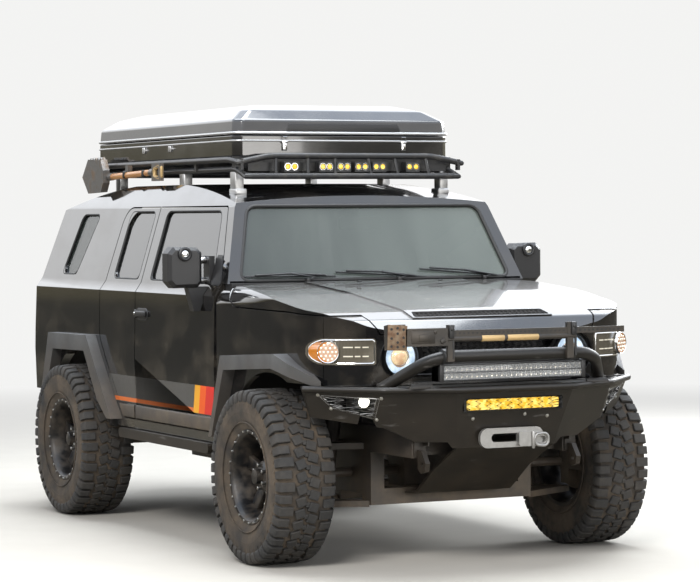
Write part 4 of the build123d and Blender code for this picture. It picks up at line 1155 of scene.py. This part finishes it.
# Fairlead and recovery points: a cast plate with a slot for the rope, whose flat link lies over one end.
# The recovery tabs are thick plate with an eye in each.
worn(dressed("fairlead", 0.006, segments=3), "body", pale_steel)
loop = ribbon([at(x, -880, height) for x, height in
                            rounded(((112, 616), (188, 609), (188, 673), (112, 670)), 24, 4)], 0.0075)
pin = drum(0.008, 0.085, at(104, -880, 642), "Z", 16, 0.002)
finished(joined([settle(loop), settle(pin)]), "fairlead_link", "body", pale_steel)
for hand, sign in HANDS:
    bpy.ops.mesh.primitive_torus_add(major_segments=36, minor_segments=10, major_radius=0.0205,
                                     minor_radius=0.007, location=at(sign * 423, -736, 530),
                                     rotation=(0, pi / 2, 0))
    eye_ring = settle(bpy.context.object)
    finished(eye_ring, "recovery_eye_" + hand, "body", pale_steel)

# Light bar: a finned black extrusion with two rows of small bright bowls behind a clear cover.
# It hangs on two end brackets under the hoop.
BAR_X = 407
COLUMNS = 28


diode_bowl = even("diode_bowl", (0.36, 0.32, 0.25), 0.14, Metallic=1.0)
diode_chip = even("diode_chip", (0.95, 0.85, 0.55), 0.2, Emission_Color=(1.0, 0.82, 0.5),
                  Emission_Strength=0.8)


bowls, chips = [], []
bowl = lathed([(-0.010, 0.003), (-0.007, 0.0075), (0.0, 0.0122), (0.0005, 0.0132)], 14)
bowl.data.transform(Matrix.Rotation(-pi / 2, 4, "Z"))
chip = settle(drum(0.0032, 0.002, (0, 0.008, 0), "Y", 8))
pitch = 2 * (BAR_X - 22) / COLUMNS
for column in range(COLUMNS):
    for height in (966, 998):
        where = Matrix.Translation(at((column + 0.5) * pitch - BAR_X + 22, -861, height))
        for master, group in ((bowl, bowls), (chip, chips)):
            copy = twin(master)
            copy.data.transform(where)
            group.append(copy)
finished(joined(bowls), "light_bar_bowls", "body", diode_bowl)
finished(joined(chips), "light_bar_chips", "body", diode_chip)
for master in (bowl, chip):
    bpy.data.objects.remove(master)
rims = [bar(about(0, BAR_X - 14), (-872, -858), span, 2) for span in ((942, 948), (1016, 1022), (980, 984))]
rims += [bar(about(sign * (BAR_X - 12), 12), (-874, -786), (938, 1026), 4) for sign in (-1, 1)]
fins = [bar(about(0, BAR_X - 24), about(-854 + 11 * n, 2), (1020, 1030), 1) for n in range(6)]
finished(joined(rims + fins), "light_bar_housing", "body", black_plastic)
finished(bar(about(0, BAR_X - 20), (-871, -868), (948, 1016), 1), "light_bar_cover", "body",
         clear_lens)
coat(black_plastic, "auxiliary_lights")

# Lever jack: a black steel bar with holes, a brown foot plate full of holes, and a tan handle below.
# Two black clamps hold it across the hoop.
JACK_Y = -930


jack_black = dusted("jack_black", (0.030, 0.030, 0.030), (0.9, 1.3), 0.35, 0.42, (200.0, 0.2), Metallic=0.5)
worn_brown_steel = mottled("worn_brown_steel", ((0.21, 0.155, 0.10), (0.13, 0.065, 0.035)), (0.45, 0.3),
                           (42.0, 6.0), (0.35, 0.7), relief=0.3, Metallic=0.4)
tan_handle = mottled("tan_handle", ((0.42, 0.27, 0.11), (0.62, 0.45, 0.22)), 0.38, (30.0, 5.0, (0.3, 1, 1)),
                     relief=0.1, Metallic=0.3)


worn(dressed("lever_jack", 0.0025), "body", jack_black)
plate = slab(((-726, 1104), (-622, 1100), (-619, 1218), (-722, 1226)), -950, -945, "Y", 1.5)
finished(plate, "jack_foot_plate", "body", worn_brown_steel)
# Black discs on the foot plate and along the bar stand in the holes: painted shade where the holes are.
hole_shade_discs = [settle(drum(0.0065, 0.002, at(x, -950, height), "Y", 14))
        for x, height in ((-705, 1122), (-672, 1118), (-640, 1120), (-704, 1160), (-640, 1162), (-704, 1204),
                          (-672, 1208), (-640, 1200), (-672, 1140), (-672, 1182))]
hole_shade_discs += [settle(drum(0.0055, 0.002, at(x, -938.5, 1175), "Y", 12)) for x in range(-380, 580, 24)]
finished(joined(hole_shade_discs), "jack_hole_shade", "body", black_rubber)
grips = [settle(drum(0.0158, high / 1000 - low / 1000, at((low + high) / 2, JACK_Y, 1148), "X", 24, 0.004))
         for low, high in ((-212, -86), (-70, 104))]
finished(joined(grips), "jack_handle_grip", "body", tan_handle)
runner = [bar((-600, -470), (-952.5, -940), (1128, 1192), 6),
          bar((-560, -500), (-955, -940), (1140, 1176), 4),
          settle(drum(0.014, 0.03, at(-430, -940, 1140), "Y", 20, 0.004)),
          settle(drum(0.010, 0.03, at(-470, -940, 1186), "Y", 20, 0.003))]
finished(joined(runner), "jack_runner_body", "body", jack_black)
clamps = []
for x in (-379, 300):
    clamps.append(bar(about(x, 14), (-950, -912), (1150, 1216), 5))
    clamps.append(settle(drum(0.009, 0.014, at(x, -948, 1196), "Y", 18, 0.002)))
    clamps.append(settle(drum(0.0065, 0.12, at(x + 12, -936, 1112), "Z", 12)))
    clamps.append(settle(drum(0.038, 0.05, at(x, -889, 1062), "X", 28, 0.004)))
finished(joined(clamps), "jack_clamps", "body", black_plastic)

# Mirrors: tall black towing heads, each on two chrome arms from its front door, with a round lamp in front.
# A black corner piece fills the front of the door's window, where the arms are bolted on.
def sail_x(height):
    """Half width of the door's upper part at a height, in mm."""
    return flank_x(max(height, 1378), 0)


mirror_silver = mottled("mirror_silver", ((0.78, 0.80, 0.82), (0.84, 0.86, 0.87)), (0.02, 0.05), (14.0, 4.0),
                        Metallic=1.0)


HEAD_OUTLINE = ((962, 1384), (1088, 1381), (1111, 1406), (1111, 1546), (1086, 1571), (966, 1568),
                (946, 1548), (946, 1400))
for hand, sign in HANDS:
    body = "door_front_" + hand
    worn(dressed("mirror_" + hand, 0.012, segments=4), body, black_plastic)
    glass = slab(rounded(mirrored(HEAD_OUTLINE, sign), 8), 880, 884, "Y", 1)
    finished(glass, "mirror_glass_" + hand, body, mirror_silver)
    for height in (1404, 1512):
        arm = drum(0.0185, 0.068, at(sign * 921, 850, height), "X", 24, 0.003)
        finished(arm, "mirror_arm_%s_%d" % (hand, height), body, chrome)
    lamp = placed(dome(0.023, 0.006, 5, 32), at(sign * 1035, 781, 1546), FORWARD)
    finished(lamp, "mirror_lamp_" + hand, body, mirror_silver)
    ring_profile = ((-0.010, 0.023), (0.010, 0.023), (0.012, 0.029), (0.008, 0.037), (-0.010, 0.038))
    ring = turned_ring(ring_profile, 40, at(sign * 1035, 784, 1546), FORWARD)
    finished(ring, "mirror_lamp_ring_" + hand, body,
             black_plastic)
    sail = slab(rounded(((664, 1380), (792, 1380), (800, 1540), (734, 1540)), 12), 0, 10, "X", 2)
    sculpt(sail, lambda p: Vector((sign * (sail_x(p.z * 1000) + 4 - 12 * (p.x < 0.005)) / 1000, p.y, p.z)))
    finished(turned_out(sail), "mirror_sail_" + hand, body, black_plastic)

# Windscreen gear: three wipers parked along the foot of the glass, and washer nozzles on the hood.
# The rear-view mirror hangs inside from the header.
SCREEN_SLOPE = 169 / 392
SCREEN_OUT = Vector((0, -0.918, 0.396))
BLADES = ((-779, 1424, -252, 1420, -420), (-246, 1441, 287, 1408, 120), (257, 1450, 781, 1404, 640))


def on_screen(x, height, lift):
    """Point on the windscreen's outer face, lifted off it, in mm."""
    return at(x, 593 + (height - 1404) * SCREEN_SLOPE, height) + SCREEN_OUT * lift / 1000


wipers = []
for x0, z0, x1, z1, pivot in BLADES:
    middle_x, middle_z = (x0 + x1) / 2, (z0 + z1) / 2
    wipers.append(ribbon([on_screen(x0, z0, 7), on_screen(middle_x, middle_z, 7), on_screen(x1, z1, 7)],
                         0.0045, closed=False))
    wipers.append(ribbon([on_screen(x0 + 60, z0 + 3, 13), on_screen(middle_x, middle_z + 8, 22),
                                         on_screen(x1 - 60, z1 + 3, 13)], 0.005, closed=False))
    wipers.append(ribbon([on_screen(middle_x, middle_z + 8, 24), on_screen(pivot + 40, 1408, 28),
                                 at(pivot, 572, 1404)], 0.007, closed=False))
    wipers.append(drum(0.014, 0.022, at(pivot, 574, 1402), "Z", 20, 0.003))
finished(joined([settle(piece) for piece in wipers]), "wipers", "body", black_plastic)
glass_back = slab(rounded(oblong((-125, 125), (1668, 1738)), 22), 800, 826, "Y", 5)
stalk = drum(0.008, 0.09, at(0, 815, 1765), "Z", 14)
finished(joined([glass_back, settle(stalk)]), "rear_view_mirror", "body", black_plastic)

nozzles = [bar(about(x, 12), (322, 344), (1394, 1403), 4, 3) for x in (-238, 238)]
finished(joined(nozzles), "washer_nozzles", "hood", black_plastic)

# Hood vent: a slot across the hood's nose with a diamond mesh of black wire set into it.
# It lies flush with the skin on both sides of the slot.
# Stations in mm of the skin just ahead of the slot and just behind it.
VENT_SIDES = (-580, -486)
hood_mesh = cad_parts["hood"].data
hood_skin = BVHTree.FromPolygons([vertex.co for vertex in hood_mesh.vertices],
                                 [tuple(face.vertices) for face in hood_mesh.polygons])


def hood_top(x, station):
    """Height of the hood's upper face at a place, in mm."""
    return hood_skin.ray_cast(at(x, station, 2000), Vector((0, 0, -1)))[0].z * 1000


def in_vent(p):
    """Puts a point of the flat mesh on the hood's surface, between the two sides of the slot."""
    x, station = p.x * 1000, p.y * 1000
    front, back = hood_top(x, VENT_SIDES[0]), hood_top(x, VENT_SIDES[1])
    share = (station - VENT_SIDES[0]) / (VENT_SIDES[1] - VENT_SIDES[0])
    return at(x, station, front + (back - front) * share - 1.5 + p.z * 1000)


def under_slot(p):
    """Puts a point of the flat shroud below the hood's surface, 14 mm down."""
    x, station = p.x * 1000, (p.y - FRONT_AXLE) * 1000
    beside = station + (-8 if station < -530 else 6)
    return at(x, station, hood_top(x, beside) - 14 - p.z * 1000)


vent = lattice(((-384, -566), (384, -566), (366, -498), (-366, -498)), 25, 17, 3, 3, in_vent)
finished(vent, "hood_vent_mesh", "hood", black_plastic)
shroud = slab(((-396, -574), (396, -574), (378, -490), (-378, -490)), 0, 2, "Z")
sculpt(shroud, under_slot)
finished(turned_out(shroud), "hood_vent_shroud", "hood", black_rubber)

# Tail lamps: gloss housings that wrap the rear corners.
# Each has a round red lens over a round pale one, both facing rearwards.
POD = ((700, 3196), (884, 3196), (910, 3300), (914, 3420), (872, 3466), (700, 3466))


red_lens = mottled("red_lens", ((0.32, 0.008, 0.006), (0.50, 0.02, 0.015)), 0.1, (60.0, 1.0), relief=0.1,
                   Coat_Weight=1.0)


for hand, sign in HANDS:
    housing = slab(mirrored(POD, sign), 1127, 1343, "Z", 34, 5)
    finished(housing, "tail_lamp_housing_" + hand, "body", gloss_black)
    for name, height, radius, material in (("brake", 1284, 0.044, red_lens),
                                           ("turn", 1190, 0.036, pearl_lens)):
        lens = placed(dome(radius, 0.006, 5, 36), at(sign * 790, 3466, height), (0, 1, 0))
        finished(lens, "tail_%s_lens_%s" % (name, hand), "body", material)

# Roof rack: black steel tube in two levels round cross bars, on silver feet clamped to the roof.
# Six small square lamps stand along its front, each with two round amber lenses.
RAILS = ((1996, 640, 880, 1957, 1957), (2046, 672, 905, 2030, 2066))
RACK_LAMP_RIM = ((-0.003, 0.0165), (0.005, 0.017), (0.005, 0.0195), (-0.003, 0.0205))
RACK_LAMPS = ((-368, 897), (-161, 893), (-54, 893), (54, 893), (161, 893), (368, 897))


rack_coat = mottled("rack_coat", ((0.022, 0.022, 0.023), (0.20, 0.18, 0.15)), (0.36, 0.2), (18.0, 5.0),
                    (0.5, 0.8), share=0.25, grain=(420.0, 0.15, 1.0), Metallic=0.2)


@finish("foot_silver")
def foot_silver(shade):
    cast = shade.noise(40.0).ramp(0.2, 0.8)
    return {"Base_Color": (0.50, 0.50, 0.50), "Metallic": 0.9, "Roughness": cast * 0.2 + 0.3}


worn(dressed("roof_rack", 0.0022), "body", rack_coat)
tubes = []
for height, half, front_station, front_height, middle_height in RAILS:
    line = [(0, front_station, middle_height), (490, front_station, middle_height),
            (half, front_station, front_height), (half, front_station + 120, height), (half, 3120, height)]
    loop = line_at(*line, *[(-x, station, z) for x, station, z in reversed(line[1:])])
    tubes.append(ribbon(loop, 0.0168, corner=0.035, sides=4))
for x in (99, 262, 452):
    for sign in (-1, 1):
        strut = line_at((sign * x, 905, 2062), (sign * (x + 10), 884, 1960))
        tubes.append(ribbon(strut, 0.009, closed=False))
finished(joined(tubes), "rack_tubes", "body", rack_coat)
feet = []
for station in (1040, 1753, 2740):
    for sign in (-1, 1):
        feet.append(bar(about(sign * 622, 26), about(station, 36), (1880, 1990), 7, 3))
        feet.append(bar(about(sign * 616, 34), about(station, 46), (1858, 1892), 8, 3))
finished(joined(feet), "rack_feet", "body", foot_silver)
bodies, rims, lenses = [], [], []
for x, station in RACK_LAMPS:
    bodies.append(bar(about(x, 43), (station - 4, station + 40), (1979, 2036), 7, 3))
    bodies += [bar(about(x, 30), (station + rear, station + rear + 3), (1986, 2029), 1) for rear in (38, 45)]
    for side in (-20, 20):
        rims.append(turned_ring(RACK_LAMP_RIM, 26, at(x + side, station - 4, 2008), FORWARD))
        lenses.append(placed(dome(0.0168, 0.005, 4, 20), at(x + side, station - 5, 2008), FORWARD))
finished(joined(bodies), "rack_lamp_bodies", "body", black_plastic)
finished(joined(rims), "rack_lamp_rims", "body", chrome)
finished(joined(lenses), "rack_lamp_lenses", "body", amber_light)

# Shovel: round-point blade of dark steel with a toothed edge, an oiled wooden shaft and a tan D-grip.
# Two straps hold it along the rack's right side.
blade_steel = mottled("blade_steel", ((0.15, 0.145, 0.14), (0.17, 0.12, 0.08)), (0.38, 0.3), (16.0, 7.0),
                      (0.45, 0.72), relief=0.3, Metallic=0.5)
oiled_wood = mottled("oiled_wood", ((0.55, 0.27, 0.09), (0.34, 0.14, 0.045)), (0.36, 0.2),
                     (9.0, 8.0, (9, 0.5, 9)), (0.3, 0.72), relief=0.2, Coat_Weight=0.4)


worn(dressed("shovel", 0.003), "body", blade_steel)
shaft = ribbon(line_at((-718, 1990, 1996), (-718, 2120, 1993), (-718, 2400, 1986), (-718, 2700, 1979)),
               0.0185, closed=False, sides=6)
finished(shaft, "shovel_shaft", "body", oiled_wood)
sockets = [ribbon(line_at(*ends), 0.0215, closed=False, sides=6)
           for ends in (((-718, 2640, 1981), (-720, 2790, 1977)), ((-718, 1986, 1996), (-718, 2040, 1995)))]
teeth = [slab(((2716 + 40 * n, 2084), (2748 + 40 * n, 2084), (2732 + 40 * n, 2099)), -731, -717, "X")
         for n in range(1, 7)]
finished(joined(sockets + teeth), "shovel_socket", "body", blade_steel)
grip_loop = [at(-718, station, height) for station, height in
             rounded(((1884, 1954), (1984, 1974), (1984, 2018), (1884, 2038)), 18, 5)]
finished(ribbon(grip_loop, 0.0125, sides=5), "shovel_grip", "body", tan_handle)
straps = [bar((-742, -690), (station, station + 26), (1970, 2012), 8, 3) for station in (2110, 2407)]
finished(joined(straps), "shovel_straps", "body", black_rubber)

# Roof tent: hard shell in gloss black, its lid crowned with shallow ribs and a raised panel at the front.
# Silver trims run round the seam, and chromed latches and silver buckles hold the lid down.


@finish("tent_black")
def tent_black(shade):
    film = shade.noise(3.0, detail=7.0).ramp(0.45, 0.8)
    ripple = shade.noise(2.2, detail=1.0)
    color = shade.mix(film * 0.16, (0.010, 0.010, 0.012), (0.22, 0.20, 0.17))
    return {"Base_Color": color, "Roughness": film * 0.12 + 0.1, "Coat_Weight": 0.9, "Coat_Roughness": 0.04,
            "Normal": shade.bump(ripple, 0.08, 0.01)}


worn(dressed("tent_base", 0.010, segments=3), "body", tent_black)
worn(dressed("tent_lid", 0.022, angle=8, segments=4, smooth=50), "tent_lid", tent_black)
for name, body, height, radius in (("tent_seal_low", "body", 2150, 0.006),
                                   ("tent_seal_high", "tent_lid", 2192, 0.008)):
    loop = [at(x, station, height) for x, station in rounded(oblong(about(0, 647.4), (995, 3070)), 44, 6)]
    finished(ribbon(loop, radius, sides=3), name, body, foot_silver)
ribs = [bar(about(x, 26), (1260, 2830), (2343, 2350.5), 3, 3) for x in (-360, -180, 0, 180, 360)]
finished(joined(ribs), "tent_lid_ribs", "tent_lid", tent_black)
panel = slab(rounded(((-356, 2194), (356, 2194), (330, 2244), (-330, 2244)), 14), 996, 1008, "Y", 3)
finished(panel, "tent_front_panel", "tent_lid", black_plastic)
latches, buckles = [], []
for x in (-361, 361):
    latches.append(bar(about(x, 13), (984, 996), (2096, 2140), 3, 3))
    latches.append(bar(about(x, 18), (982, 994), (2136, 2150), 3, 3))
    bail = line_at((x - 12, 986, 2140), (x - 12, 984, 2172), (x + 12, 984, 2172), (x + 12, 986, 2140))
    latches.append(ribbon(bail, 0.0025, closed=False))
finished(joined([settle(piece) for piece in latches]), "tent_latches", "body", chrome)
for sign in (-1, 1):
    for station in (1902, 2299):
        buckles.append(bar(about(sign * 653, 4), (station - 48, station - 8), (2121, 2131), 2))
        buckles.append(bar(about(sign * 654, 5), (station - 12, station + 26), (2108, 2144), 4, 3))
finished(joined(buckles), "tent_buckles", "body", foot_silver)

# Interior: padded front seats and bench in black cloth, each swollen by simulation from a smaller shape.
# The dashboard is grained plastic with a rubber steering wheel; the mattress fills the tent's tray.
# Points move by at most this many metres while pressure swells a pad over the simulation's frames.
SEAT_CAP = 0.022
MATTRESS_CAP = 0.008
PRESSURE = 4.0
FRAMES = 20


@finish("seat_fabric")
def seat_fabric(shade):
    weave = shade.node("TexWave", {"bands_direction": "X"}, Vector=shade.place(), Scale=130.0,
                       Distortion=0.6)
    wear = shade.noise(4.0, detail=4.0)
    return {"Base_Color": shade.mix(wear, (0.020, 0.020, 0.022), (0.042, 0.042, 0.045)), "Roughness": 0.92,
            "Sheen_Weight": 0.3, "Normal": shade.bump(weave, 0.35, 0.0006)}


@finish("mattress_fabric")
def mattress_fabric(shade):
    weave = shade.noise(320.0, detail=1.0)
    return {"Base_Color": shade.mix(weave, (0.16, 0.17, 0.18), (0.22, 0.23, 0.24)), "Roughness": 0.95,
            "Sheen_Weight": 0.3, "Normal": shade.bump(weave, 0.3, 0.0005)}


def stuffed(piece, voxel, cap):
    """Fills a shape as its foam does: pressure swells it, and no point moves further than the cap."""
    change(piece, "REMESH", mode="VOXEL", voxel_size=voxel)
    before = [vertex.co.copy() for vertex in piece.data.vertices]
    cloth = piece.modifiers.new("cloth", "CLOTH")
    cloth.settings.use_pressure = True
    cloth.settings.uniform_pressure_force = PRESSURE
    cloth.settings.effector_weights.gravity = 0.0
    cloth.point_cache.frame_end = FRAMES
    for step in range(1, FRAMES + 1):
        bpy.context.scene.frame_set(step)
    only(piece)
    bpy.ops.object.modifier_apply(modifier="cloth")
    for vertex, place in zip(piece.data.vertices, before):
        moved = vertex.co - place
        vertex.co = place + moved * min(1, cap / max(moved.length, 1e-9))
    bpy.context.scene.frame_set(1)
    change(piece, "SUBSURF", levels=1, render_levels=1)
    return piece


# Pads as (side profile of station and height, x span).
CUSHION = ((1158, 742), (1158, 926), (1604, 872), (1590, 742))
BACKREST = ((1640, 800), (1660, 880), (1778, 1392), (1838, 1392), (1768, 800))
BENCH_CUSHION = ((2016, 742), (2016, 924), (2300, 892), (2280, 830), (2226, 760))
BENCH_BACK = ((2336, 852), (2350, 960), (2440, 1316), (2492, 1316), (2474, 852))
PADS = [(profile, span) for profile in (CUSHION, BACKREST) for span in ((224, 656), (-656, -224))]
PADS += [(profile, span) for profile in (BENCH_CUSHION, BENCH_BACK) for span in ((-576, -8), (8, 576))]
pads = [stuffed(slab(profile, low, high, "X", 16, 2), 0.018, SEAT_CAP) for profile, (low, high) in PADS]
seats = worn(joined(pads), "body", seat_fabric)
seats.name = "seat_pads"
settle(seats, 60)
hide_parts("seats")


# Mattress channels in mm: two long ones at a distance from the middle, and six cross ones.
LONG_CHANNEL = 200
CROSS_CHANNELS = range(1250, 2811, 312)
CHANNEL_WIDTH = 45
CHANNEL_DEPTH = 0.010
MATTRESS_FACE = 2.12


def quilted(p):
    """Draws the mattress's upper face in along its channels."""
    x, station = p.x * 1000, (p.y - FRONT_AXLE) * 1000
    near = min([abs(abs(x) - LONG_CHANNEL)] + [abs(station - channel) for channel in CROSS_CHANNELS])
    depth = CHANNEL_DEPTH * max(0.0, 1 - near / CHANNEL_WIDTH) ** 2
    return Vector((p.x, p.y, p.z - depth * (p.z > MATTRESS_FACE)))


mattress = stuffed(bar((-588, 588), (1057, 3008), (2090, 2136), 10), 0.016, MATTRESS_CAP)
sculpt(mattress, quilted)
worn(mattress, "body", mattress_fabric)
mattress.name = "mattress_pad"
settle(mattress, 60)
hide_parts("tent_mattress")

worn(dressed("dashboard", 0.008, segments=3), "body", grained_plastic)
bpy.ops.mesh.primitive_torus_add(major_segments=56, minor_segments=12, major_radius=0.175,
                                 minor_radius=0.0175, location=(0, 0, 0))
finished(placed(bpy.context.object, at(380, 1060, 1180), (0, 0.85, 0.5)), "steering_wheel_rim", "body",
         black_rubber)
